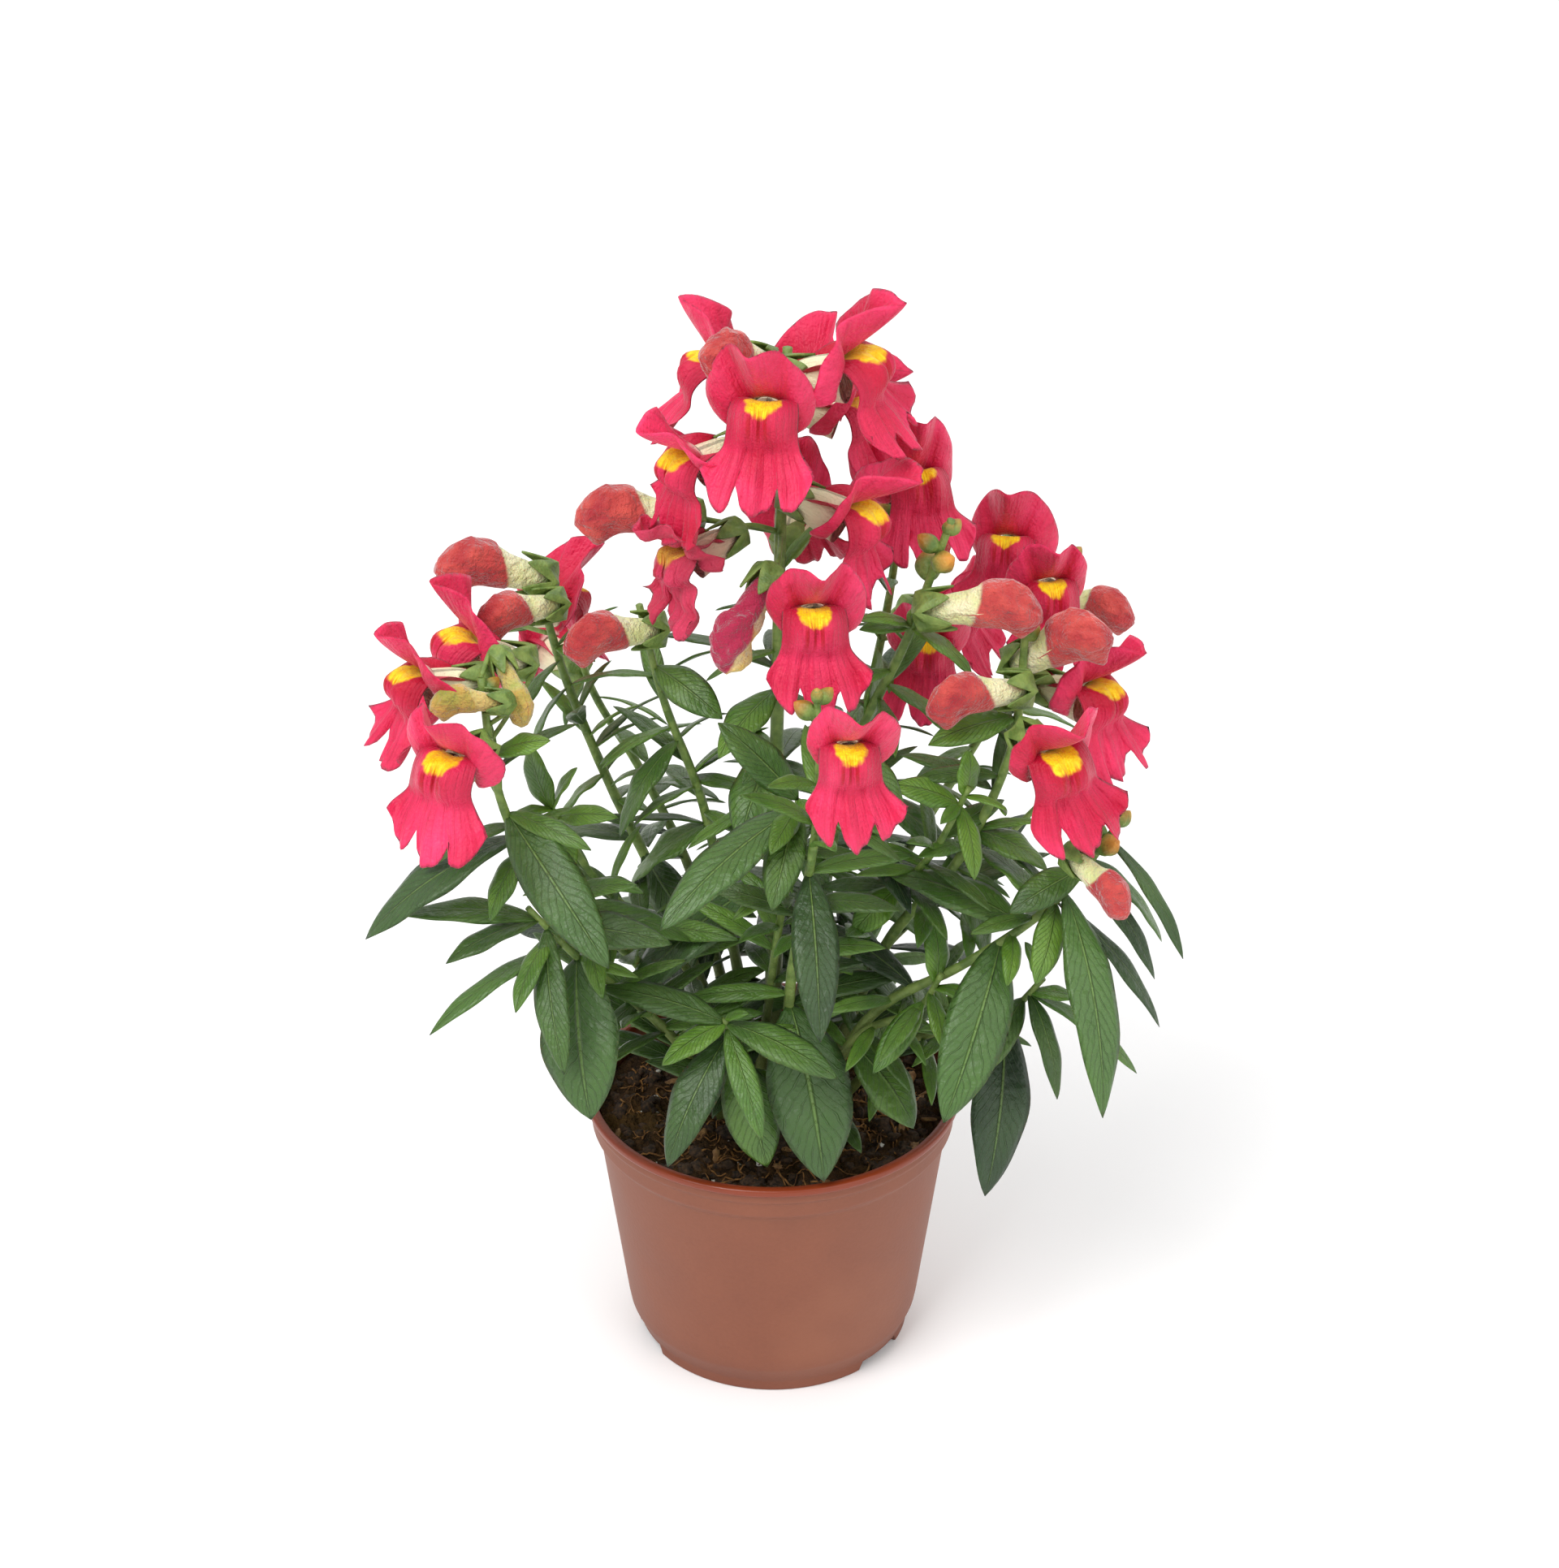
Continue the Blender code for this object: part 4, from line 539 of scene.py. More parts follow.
class Sig:
    # a socket that takes part in sums: numbers go through Math, colours through Mix
    def __init__(self, finish, socket):
        self.finish, self.socket = finish, socket

    def math(self, operation, *others):
        values = {i + 1: other for i, other in enumerate(others)}
        return self.finish.node("ShaderNodeMath", {"operation": operation}, {0: self, **values})

    def __add__(self, other):
        return self.math("ADD", other)

    def __radd__(self, other):
        return self.math("ADD", other)

    def __mul__(self, other):
        return self.math("MULTIPLY", other)

    def __sub__(self, other):
        return self.math("SUBTRACT", other)

    def __rsub__(self, other):
        return self.finish.node("ShaderNodeMath", {"operation": "SUBTRACT"}, {0: other, 1: self})

    def __truediv__(self, other):
        return self.math("DIVIDE", other)

    def __pow__(self, other):
        return self.math("POWER", other)

    def clip(self):
        return self.finish.node("ShaderNodeClamp", {}, {"Value": self})

    def abs(self):
        return self.math("ABSOLUTE")

    def sin(self):
        return self.math("SINE")

    def step(self, low, high):
        # 0 below low, 1 above high, smooth between
        return self.finish.node("ShaderNodeMapRange", {"interpolation_type": "SMOOTHSTEP"},
                                {"Value": self, "From Min": low, "From Max": high})


class Finish:
    # a material with one Principled shader, built from expressions
    def __init__(self, name, **constants):
        self.material = bpy.data.materials.new(name)
        self.material.use_nodes = True
        self.tree = self.material.node_tree
        self.shader = self.tree.nodes["Principled BSDF"]
        for socket, value in constants.items():
            self.shader.inputs[socket.replace("_", " ")].default_value = value

    def node(self, kind, settings, values, output=0):
        made = self.tree.nodes.new(kind)
        for key, value in settings.items():
            setattr(made, key, value)
        for key, value in values.items():
            self.feed(made.inputs[key], value)
        return Sig(self, made.outputs[output])

    def feed(self, socket, value):
        if isinstance(value, Sig):
            self.tree.links.new(value.socket, socket)
        elif isinstance(value, tuple) and len(value) == 3 and socket.type == "RGBA":
            socket.default_value = (*value, 1)
        else:
            socket.default_value = value

    def value(self, name):
        return self.node("ShaderNodeAttribute", {"attribute_name": name}, {}, "Fac")

    def place(self):
        return self.node("ShaderNodeTexCoord", {}, {}, "Object")

    def height(self):
        return self.node("ShaderNodeSeparateXYZ", {}, {0: self.place()}, "Z")

    def noise(self, scale, detail=3.0, where=None, roughness=0.5):
        return self.node("ShaderNodeTexNoise", {}, {"Vector": where or self.place(), "Scale": scale,
                                                    "Detail": detail, "Roughness": roughness}, "Fac")

    def cells(self, scale):
        return self.node("ShaderNodeTexVoronoi", {}, {"Vector": self.place(), "Scale": scale}, "Distance")

    def vector(self, x, y, z):
        return self.node("ShaderNodeCombineXYZ", {}, {"X": x, "Y": y, "Z": z})

    def mix(self, share, a, b):
        made = self.tree.nodes.new("ShaderNodeMix")
        made.data_type = "RGBA"
        self.feed(made.inputs[0], share)
        self.feed(made.inputs[6], a)
        self.feed(made.inputs[7], b)
        return Sig(self, made.outputs[2])

    def out(self, socket, value):
        self.feed(self.shader.inputs[socket], value)

    def bump(self, height, distance, strength=1.0):
        self.out("Normal", self.node("ShaderNodeBump", {}, {"Height": height, "Distance": distance,
                                                            "Strength": strength}))


def srgb(r, g, b):
    # a colour as it shows on a screen, 0 to 255, as a linear one
    c = np.array([r, g, b]) / 255
    return tuple(float(x) for x in np.where(c < 0.04045, c / 12.92, ((c + 0.055) / 1.055) ** 2.4))


def leafFinish():
    f = Finish("snapdragonLeaf", IOR=1.5, Subsurface_Weight=0.04, Subsurface_Scale=0.001, Coat_Weight=0.12,
               Coat_Roughness=0.3)
    u, v, toneAndShade, young = (f.value(key) for key in ("leafU", "leafV", "leafToneAndShade", "leafYoung"))
    aside = (u - 0.5).abs() * 2
    grain = f.noise(420, 5)
    patch = f.noise(70, 3)
    # the old blade darkens with the leaf's tone, which holds random variation plus painted shade for back and
    # inner leaves
    old = f.mix((toneAndShade * 0.9 + patch * 0.6 - 0.25).clip(), srgb(22, 46, 20), srgb(74, 110, 44))
    fresh = f.mix(patch.step(0.3, 0.7), srgb(76, 120, 26), srgb(112, 152, 46))
    blade = f.mix(young, old, fresh)
    midrib = 1 - aside.step(0.02, 0.085)
    warp = f.noise(160, 2)
    veins = ((v * 13 - aside * 3.6 + warp * 1.5) * 6.283).sin().step(0.8, 1.0) * (1 - aside.step(0.7, 1.0))
    withVeins = f.mix((veins * 0.10).clip(), blade, srgb(118, 150, 84))
    withRib = f.mix((midrib * 0.42 * (1.3 - v)).clip(), withVeins, srgb(134, 168, 80))
    rimmed = f.mix(aside.step(0.92, 1.0) * 0.2, withRib, srgb(90, 122, 56))
    f.out("Base Color", rimmed)
    f.out("Roughness", 0.24 + grain * 0.18 + patch * 0.12)
    f.bump(midrib * -0.9 + veins * -0.35 + grain * 0.9 + patch * 1.7, 0.0010, 1.0)
    return f.material


def stemFinish():
    f = Finish("snapdragonStem", Roughness=0.5, Subsurface_Weight=0.06, Subsurface_Scale=0.002)
    tip = f.value("ripe")
    streak = f.noise(300, 3)
    green = f.mix(streak.step(0.3, 0.7), srgb(84, 112, 44), srgb(124, 148, 72))
    low = f.mix(f.height().step(0.09, 0.15), srgb(104, 116, 58), green)
    ochre = f.mix(streak.step(0.35, 0.7), srgb(200, 116, 34), srgb(224, 150, 54))
    f.out("Base Color", f.mix(tip.clip(), low, ochre))
    f.out("Roughness", 0.42 + streak * 0.2)
    f.bump(streak + f.cells(1400) * 0.6, 0.0004, 0.6)
    return f.material


def petalFinish():
    f = Finish("snapdragonPetal", IOR=1.4, Subsurface_Weight=0.05, Subsurface_Scale=0.002, Sheen_Weight=0.12,
               Sheen_Roughness=0.4)
    u, v, zone, fade = (f.value(key) for key in ("petalU", "petalV", "petalZone", "petalFade"))
    lower = zone.step(1.4, 1.6)
    tube = 1 - zone.step(0.4, 0.6)
    side = (u - 0.5).abs() * 2
    cloudy = f.noise(150, 3)
    broad = f.noise(48, 3)
    lines = f.noise(1, 2, f.vector(u * 40, v * 3.2, zone * 7))
    pink = f.mix((broad * 1.9 + v * 0.6 - 0.95).clip(), srgb(186, 2, 46), srgb(248, 60, 112))
    veined = f.mix((lines.step(0.4, 0.8) * 0.34).clip(), pink, srgb(150, 2, 40))
    throat = f.mix(((1 - v.step(0.0, 0.20)) * (1 - lower) * 0.85).clip(), veined, srgb(236, 202, 190))
    swelling = ((side / 0.60) ** 2 + ((v - 0.22) / 0.20) ** 2) + f.noise(300, 2) * 0.9 - 0.45
    palate = lower * (1 - swelling.step(0.7, 1.05))
    yellow = f.mix(f.noise(700, 3).step(0.3, 0.7), srgb(250, 196, 4), srgb(255, 226, 30))
    streaks = f.noise(1, 1, f.vector(u * 26, v * 1.2, 3))
    warm = f.mix((streaks.step(0.45, 0.6) * v.step(0.30, 0.42) * 0.8).clip(), yellow, srgb(220, 60, 22))
    ribs = (u * 50).sin().step(-0.2, 0.7)
    below = lower * (1 - side.step(0.32, 0.42)) * v.step(0.36, 0.42) * (1 - v.step(0.48, 0.6)) * ribs
    redder = f.mix((below * 0.85).clip(), throat, srgb(176, 2, 26))
    lip = f.mix(palate.clip(), redder, warm)
    # painted shade: the lower lip's flanks beside the palate are darkened to crimson where its folds lie in
    # shade
    crimsonFoldShade = lower * side.step(0.55, 0.85) * (1 - v.step(0.5, 0.7)) * v.step(0.1, 0.3)
    lip = f.mix((crimsonFoldShade * 0.45).clip(), lip, srgb(156, 4, 44))
    blush = (v.step(0.5, 1.0) * 0.3 + broad * 0.3 - 0.14).clip()
    cream = f.mix(blush, srgb(232, 230, 190), srgb(228, 170, 168))
    colour = f.mix(tube, lip, cream)
    f.out("Base Color", f.mix((fade * 0.5).clip(), colour, srgb(176, 62, 84)))
    f.out("Roughness", 0.44 + cloudy * 0.16)
    f.bump(lines * 0.5 + cloudy * 1.1 + f.noise(1300, 2) * 0.35, 0.0012, 0.9)
    return f.material


def budFinish():
    f = Finish("snapdragonBud", IOR=1.35, Subsurface_Weight=0.12, Subsurface_Scale=0.003, Sheen_Weight=0.4,
               Sheen_Roughness=0.5)
    u, v, ripe, wilt = (f.value(key) for key in ("budU", "budV", "budRipe", "budWilt"))
    blotch = f.noise(170, 4)
    fine = f.noise(1500, 2)
    coral = f.mix((blotch * 1.8 - 0.5).clip(), srgb(160, 26, 40), srgb(216, 88, 76))
    cream = f.mix(blotch.step(0.3, 0.7), srgb(212, 218, 146), srgb(236, 232, 190))
    green = f.mix(blotch.step(0.3, 0.7), srgb(150, 164, 66), srgb(196, 168, 80))
    cap = f.mix(ripe, green, coral)
    brim = (u * 6.283 + 0.4).sin() * 0.10 + 0.45
    ends = f.mix((v + blotch * 0.05 - brim).step(-0.01, 0.04), f.mix(ripe, green, cream), cap)
    # painted shade: dark red lines along the cap's creases, where the folds lie in shade
    creaseShade = 1 - (u * 12.566).sin().abs().step(0.0, 0.16)
    closed = f.mix((creaseShade * v.step(0.5, 0.8) * 0.4).clip(), ends, srgb(150, 28, 48))
    papery = f.mix(blotch.step(0.35, 0.65), srgb(226, 208, 160), srgb(240, 200, 60))
    shrunk = f.mix(((u * 6.283).sin() + blotch - 0.4).step(-0.1, 0.2), papery, srgb(168, 22, 66))
    f.out("Base Color", f.mix(wilt, closed, shrunk))
    f.out("Roughness", 0.5 + fine * 0.2)
    f.bump(blotch * 1.8 + f.noise(420, 3) * 1.1 + fine * 0.4, 0.0014, 1.0)
    return f.material


def potFinish():
    f = Finish("potTerracottaPlastic", IOR=1.46)
    tall = f.height()
    mottle = f.noise(60, 5)
    grain = f.noise(900, 3)
    rub = f.noise(14, 4)
    lip = tall.step((pot["height"] - pot["lipHeight"] - 0.6) * mm, (pot["height"] - pot["lipHeight"]) * mm)
    wall = f.mix((mottle * 0.7 + grain * 0.35 - 0.02).clip(), srgb(118, 64, 43), srgb(140, 82, 58))
    worn = f.mix((rub.step(0.52, 0.72) * 0.35).clip(), wall, srgb(152, 96, 70))
    low = f.mix((1 - tall.step(0.0, 0.016)) * 0.4, worn, srgb(106, 54, 36))
    f.out("Base Color", f.mix((lip * 0.85).clip(), low, srgb(128, 46, 14)))
    f.out("Roughness", (0.46 + mottle * 0.14 - lip * 0.22).clip())
    f.bump(grain * 0.6 + mottle * 0.4, 0.0002, 0.5)
    return f.material


def soilFinish():
    f = Finish("peatSoil", IOR=1.3)
    clump = f.noise(220, 6, roughness=0.7)
    fleck = f.cells(900)
    moss = f.noise(45, 3)
    dark = f.mix(clump.step(0.3, 0.7), srgb(24, 17, 11), srgb(88, 62, 34))
    brown = f.mix((moss.step(0.5, 0.68) * 0.6).clip(), dark, srgb(96, 72, 34))
    f.out("Base Color", f.mix(((1 - fleck.step(0.05, 0.2)) * 0.45).clip(), brown, srgb(120, 92, 62)))
    f.out("Roughness", 0.85 + clump * 0.15)
    f.bump(clump + fleck * 0.5, 0.0015, 1.0)
    return f.material


def plainFinish(name, low, high, scale, rough):
    f = Finish(name)
    grain = f.noise(scale, 4)
    f.out("Base Color", f.mix(grain.step(0.3, 0.7), low, high))
    f.out("Roughness", rough + grain * 0.1)
    f.bump(grain, 0.0004, 0.8)
    return f.material


# pieces

def leafBlades(rows, seedOffset):
    # blades (count, along, across): an arched midrib, a width of (4t(1-t))^0.85, a shallow
    # fold along the rib, edges that curl down, a wave along the edge
    base, tip = np.array([r[0] for r in rows]), np.array([r[1] for r in rows])
    width = np.array([r[2] for r in rows])
    back = np.array([r[3] for r in rows])
    chord = tip - base
    length = np.linalg.norm(chord, axis=1)
    out = tip * [1, 1, 0]
    flat = np.linalg.norm(out, axis=1, keepdims=True)
    out = np.where(flat > 1, out / np.maximum(flat, 1e-6), [0.0, -1.0, 0.0])
    side = unit(np.cross(chord, up + out * 0.6))
    lift = unit(np.cross(side, chord))
    middle = (base + tip) / 2 + lift * (length * leaf["arch"])[:, None]
    t = np.linspace(0, 1, leaf["along"])[None, :, None]
    rib = base[:, None] * (1 - t) ** 2 + middle[:, None] * (2 * t * (1 - t)) + tip[:, None] * t ** 2
    tangent = unit((middle - base)[:, None] * (1 - t) + (tip - middle)[:, None] * t)
    normal = np.cross(np.broadcast_to(side[:, None], tangent.shape), tangent)
    s = np.linspace(-1, 1, leaf["across"])[None, None, :, None]
    ts = t[..., 0]
    outline = np.clip(4 * ts * (1 - ts), 0, 1) ** 0.85 * (1 - 0.12 * ts) + 0.05 * (1 - ts) ** 4
    half = np.maximum(width[:, None] / 2 * outline, 0.12)[..., None, None]
    phase = np.random.default_rng(seedOffset).uniform(0, 6.28, (len(rows), 1, 1, 1))
    t4, w4 = ts[..., None, None], width[:, None, None, None]
    droop = -leaf["curl"] * half * np.abs(s) ** 3 + leaf["keel"] * half * np.abs(s)
    wave = leaf["wave"] * w4 * np.sin(t4 * 15 + phase + s * 0.8) * np.abs(s) ** 2 * np.sin(np.pi * t4)
    twist = 0.10 * s * half * np.sin(t4 * 5 + phase * 2)
    grid = rib[:, :, None] + side[:, None, None] * half * s + normal[:, :, None] * (droop + wave + twist)
    points, faces, u, v, each = shellGrid(grid, leaf["thick"])
    # each leaf's tone is random, lowered by a quarter of its last row value: the darker back leaves (1.0) and
    # crown filler leaves (0.6) are painted shade
    toneAndShade = np.clip(np.random.default_rng(seedOffset + 5).uniform(0, 1, len(rows)) - 0.25 * back, 0, 1)
    young = np.clip(1.55 - length / 27 + 0.4 * (toneAndShade - 0.5), 0, 1) * 0.85
    values = dict(leafU=u, leafV=v, leafToneAndShade=np.repeat(toneAndShade, each), leafYoung=np.repeat(young, each))
    return points, faces, values


def stemTube(route, thick):
    path = smoothRoute(route, 60)
    run = np.linspace(0, 1, 60)
    radius = (thick[0] + (thick[1] - thick[0]) * run) / 2
    angle = np.linspace(0, 2 * np.pi, 14, endpoint=False)
    ribs = 1 + 0.05 * np.cos(angle * 5)[None, :] + 0.03 * np.sin(run * 90)[:, None]
    return tubeGrid(path, radius[:, None] * ribs, 14)


def stalkTube(start, neck, forward):
    # a stalk on a quadratic curve that arrives at the neck along the flower's axis
    t = np.linspace(0, 1, 10)[:, None]
    bend = neck - forward * min(3.0, 0.4 * float(np.linalg.norm(neck - start)))
    path = start * (1 - t) ** 2 + bend * 2 * t * (1 - t) + neck * t ** 2
    return tubeGrid(path, calyx["stalk"] * (0.8 + 0.35 * t[:, 0] ** 3), 10)


def calyxCup(origin, axes, scale):
    # a cup of five pointed sepals: its height over the rim is 1 - t^1.3, with t running from 0
    # at a sepal's middle to 1 between two, and its radius swells from the neck to the rim; the
    # inner skin is the outer one drawn in
    angle = np.linspace(0, 2 * np.pi, 80, endpoint=False)[None, :]
    s = np.linspace(0, 1, 12)[:, None]
    lobes = 1 - (np.abs((angle * 2.5 / np.pi) % 1 - 0.5) * 2) ** 1.3
    rim = -calyx["clear"] + 0.5 + lobes * (calyx["length"] + 0.6) * scale
    foot = -(calyx["clear"] + calyx["floor"])
    x = foot + (rim - foot) * s
    r = (1.1 + (calyx["radius"] * scale - 1.1) * np.clip(s * 2.2, 0, 1) ** 0.7) * (1 + 0.10 * s * lobes)
    r = np.broadcast_to(r, x.shape)
    inX, inR = np.maximum(x, -calyx["clear"] - 0.1), np.maximum(r - 0.55, 0.4)
    x = np.concatenate([x, inX[::-1]])
    r = np.concatenate([r, inR[::-1]])
    local = np.stack([x, r * np.sin(angle), r * np.cos(angle)], axis=-1)
    rings = origin + local @ axes
    ends = origin + np.array([[foot, 0, 0], [-calyx["clear"] - 0.1, 0, 0]]) @ axes
    return capped(rings, ends[0], ends[1])


def youngBud(foot, direction, size):
    # a spindle with five ridges and a radius of sin(pi s^0.9)^0.75; it turns ochre towards its tip
    s = np.linspace(0, 1, 14)[1:-1]
    angle = np.linspace(0, 2 * np.pi, 20, endpoint=False)
    ref = unit(np.cross(direction, [0.3, 0.5, 0.81]))
    other = np.cross(direction, ref)
    radius = 0.54 * size * np.sin(np.pi * s ** 0.9)[:, None] ** 0.75 * (1 + 0.08 * np.cos(angle * 5))[None, :]
    ring = ref * np.cos(angle)[:, None] + other * np.sin(angle)[:, None]
    long = size * youngBuds["slender"]
    rings = foot + direction * (s * long)[:, None, None] + ring[None] * radius[..., None]
    return capped(rings, foot, foot + direction * long)


def upperLip(u, v):
    # two lobes on quadratic curves that leave the throat's ring at angle 90 - 105u degrees, run
    # forward and then rise: length 20 (1-|u|^1.7)^0.75 less a notch at the top, with the middle
    # furthest forward and the flanks folded back
    theta = np.radians(90 - u * 105)
    a = np.abs(u)
    reach = 20.0 * np.clip(1 - a ** 1.7, 0, 1) ** 0.75 * (1 - 0.16 * np.exp(-(u / 0.16) ** 2)) + 1.0
    across, rise = np.cos(theta) * 0.42, np.sin(theta) + 0.35 * (1 - a)
    size = np.hypot(across, rise)
    across, rise = across / size, rise / size
    ring = bloom["throatR"]
    start = np.stack([14 + 0 * u, ring * np.cos(theta), 0.9 + ring * np.sin(theta)], axis=-1)
    long = reach / 19
    bend = start + np.stack([7 * long ** 0.5, 3 * across, 3 * rise], axis=-1)
    onward = (17 - 26 * a ** 1.2) * long ** 0.7
    end = start + np.stack([onward, 0.82 * reach * across, 0.82 * reach * rise], axis=-1)
    w = v[..., None]
    sheet = start * (1 - w) ** 2 + bend * 2 * w * (1 - w) + end * w ** 2
    sheet[..., 0] += 1.0 * v ** 2 * np.sin(u * 11 + 0.6) + 0.5 * v ** 3 * np.sin(u * 27)
    sheet[..., 0] -= 2.6 * np.sin(np.pi * v * 0.7) * np.exp(-((a - 0.34) / 0.16) ** 2)
    return sheet


def lowerLip(u, v):
    # a sheet that follows a path from the throat over the palate to three hanging lobes; its
    # half width grows with v, and two humps fill the palate
    at = np.array([0, 0.12, 0.28, 0.40, 0.52, 0.66, 0.85, 1.0])
    x = np.interp(v, at, [12.0, 16.8, 21.8, 24.4, 25.4, 24.2, 27.0, 30.0])
    z = np.interp(v, at, [3.0, 6.4, 7.4, 4.8, 0.4, -5.0, -12.0, -17.0])
    half = np.interp(v, at, [4.2, 5.8, 7.8, 8.6, 8.6, 9.4, 13.0, 14.0])
    a = np.abs(u)
    lobe = np.clip((v - 0.55) / 0.45, 0, 1)
    notch = np.exp(-((a - 0.36) / 0.075) ** 2)
    corner = np.clip((a - 0.62) / 0.38, 0, 1)
    rims = np.where(a < 0.36, np.cos(a * np.pi / 0.72), np.sin(np.clip((a - 0.36) / 0.64, 0, 1) * np.pi))
    z = z + lobe ** 1.6 * (4.6 * notch + 6.5 * corner ** 1.7 + 2.6 * a - 1.3 * rims)
    x = x - lobe * notch * 1.8 - 7.0 * a ** 2.5 * np.clip(1.2 - v / 0.8, 0, 1)
    x = x + lobe ** 1.3 * 1.6 * np.abs(np.sin(np.clip((a - 0.36) / 0.64, 0, 1) * np.pi)) - 4.0 * lobe * a ** 2
    mound = np.exp(-((a - 0.38) / 0.22) ** 2) * 2.4 - 0.8 * np.exp(-(u / 0.10) ** 2)
    hump = np.exp(-((v - 0.42) / 0.13) ** 2) * mound
    crease = -1.6 * np.exp(-((v - 0.64) / 0.06) ** 2) * np.cos(np.clip(a, 0, 1) * np.pi / 2)
    ruffle = lobe * (1.1 * np.sin(u * 12 + 1.0) + 0.6 * np.sin(u * 26))
    return np.stack([x + hump + crease + ruffle, u * half, z + hump * 0.3], axis=-1)


def smoothed(grid, times=2):
    # softens a sheet along its rows: each row becomes the mean of itself and its neighbours
    for _ in range(times):
        grid = np.concatenate([grid[:1], (grid[:-2] + 2 * grid[1:-1] + grid[2:]) / 4, grid[-1:]])
    return grid


def addBloom(batch, origin, axes, scale, seed, fade):
    wobble = np.random.default_rng(seed).uniform(-1, 1, 6)
    u, v = np.meshgrid(np.linspace(-1, 1, bloom["upperColumns"]), np.linspace(0, 1, bloom["upperRows"]))
    top = upperLip(u, v)
    top[..., 0] += v ** 2 * np.sin(u * 5 + wobble[0] * 3) * 1.3
    top[..., 2] += v ** 2 * u * wobble[2] * 2.2
    # shallow creases run out from the throat, deeper towards the rim
    top[..., 0] += v * 0.55 * np.sin(u * 13 + wobble[4] * 3 + 2 * v) * (1 - u ** 8)
    top[..., 1] += v ** 2 * wobble[5] * 2.0
    u2, v2 = np.meshgrid(np.linspace(-1, 1, bloom["lowerColumns"]), np.linspace(0, 1, bloom["lowerRows"]))
    low = smoothed(lowerLip(u2, v2))
    low[..., 0] += np.clip(v2 - 0.5, 0, 1) * np.sin(u2 * 4 + wobble[1] * 3) * 3.0
    low[..., 1] += np.clip(v2 - 0.6, 0, 1) ** 2 * wobble[3] * 12
    low[..., 0] += np.clip(v2 - 0.45, 0, 1) * 1.1 * np.sin(u2 * 12 + wobble[5] * 3 - 3 * v2)
    for sheet, zone in ((top, 1.0), (low, 2.0)):
        if fade:
            crumpled = [np.sin(sheet[..., 2] * 0.8), np.sin(sheet[..., 0] * 0.9), 0 * sheet[..., 0]]
            sheet = sheet + np.stack(crumpled, -1) * 0.9
        points, faces, pu, pv, _ = shellGrid(sheet[None], bloom["thick"])
        batch.add(origin + points @ axes * scale, faces, petalU=pu, petalV=pv, petalZone=zone, petalFade=fade)
    s = np.linspace(0, 1, bloom["tubeRings"])[:, None]
    angle = np.linspace(0, 2 * np.pi, bloom["tubeSides"], endpoint=False)
    radius = np.interp(s, [0, 0.06, 0.17, 0.5, 0.8, 1.0], [1.6, 2.6, 3.6, 5.0, 5.7, 6.0])
    sides = 1 + 0.05 * np.cos(2 * angle)
    rings = np.stack([s * bloom["tubeLong"] + 0 * angle, radius * np.sin(angle) * 0.96,
                      radius * np.cos(angle) * sides + 0.4 * s], axis=-1)
    rings[..., 2] -= 0.5 * np.exp(-((rings[..., 0] - 2.5) / 1.5) ** 2)
    points, faces, pu, pv = capped(rings, np.array([0, 0, 0.0]), np.array([6.0, 0, 0.2]))
    batch.add(origin + points @ axes * scale, faces, petalU=pu, petalV=pv, petalZone=0.0, petalFade=fade)


def budRings(wilt):
    # a swollen tube with a folded cap: rings on a drooping axis, with narrow creases along the
    # cap that deepen with s, and a lower lip that ends in a beak
    s = np.linspace(0, 1, 34)[:, None]
    angle = np.linspace(0, 2 * np.pi, 48, endpoint=False)[None, :]
    at = np.array([0, 0.08, 0.13, 0.39, 0.59, 0.79, 0.92, 1.0])
    wide = np.interp(s, at, [2.0, 2.8, 3.3, 3.7, 4.5, 5.0, 3.8, 1.4])
    high = np.interp(s, at, [2.0, 2.8, 3.4, 4.3, 5.7, 6.3, 5.0, 2.0])
    drop = np.interp(s, at, [0, 0, -0.2, 0, 0.5, -0.2, -1.8, -3.0])
    cap = np.clip((s - 0.5) / 0.4, 0, 1)
    fold = 1 - 0.16 * cap * np.exp(-(np.sin(angle - 0.5) / 0.18) ** 2)
    fold = fold - 0.07 * cap * np.exp(-(np.sin(2 * angle + s * 2) / 0.25) ** 2)
    crumple = 1 + (0.02 + 0.2 * wilt) * np.sin(angle * 5 + s * 16) * s
    brim = 0.44 + 0.10 * np.sin(angle + 0.4)
    crumple = crumple + 0.10 * np.exp(-np.clip((s - brim - 0.05) / 0.16, 0, 9) ** 2) * (s > brim)
    crumple = crumple + cap * (0.08 * np.sin(3 * angle + 10 * s) + 0.05 * np.sin(6 * angle - 17 * s))
    x = s * bud["size"] + 0 * angle
    y = wide * np.cos(angle) * fold * crumple
    z = drop + high * np.sin(angle) * fold * crumple
    beak = np.exp(-((s - 0.79) / 0.09) ** 2) * np.clip(-np.sin(angle), 0, 1) ** 4
    return np.stack([x, y, z - 2.6 * beak], axis=-1)


def addBud(batch, origin, axes, scale, wilt, ripe):
    rings = budRings(wilt)
    ends = np.array([[0, 0, 0], [bud["size"] + 0.2, 0, -3.1]])
    points, faces, u, v = capped(rings, ends[0], ends[1])
    batch.add(origin + points @ axes * scale, faces, budU=u, budV=v, budRipe=ripe, budWilt=wilt)


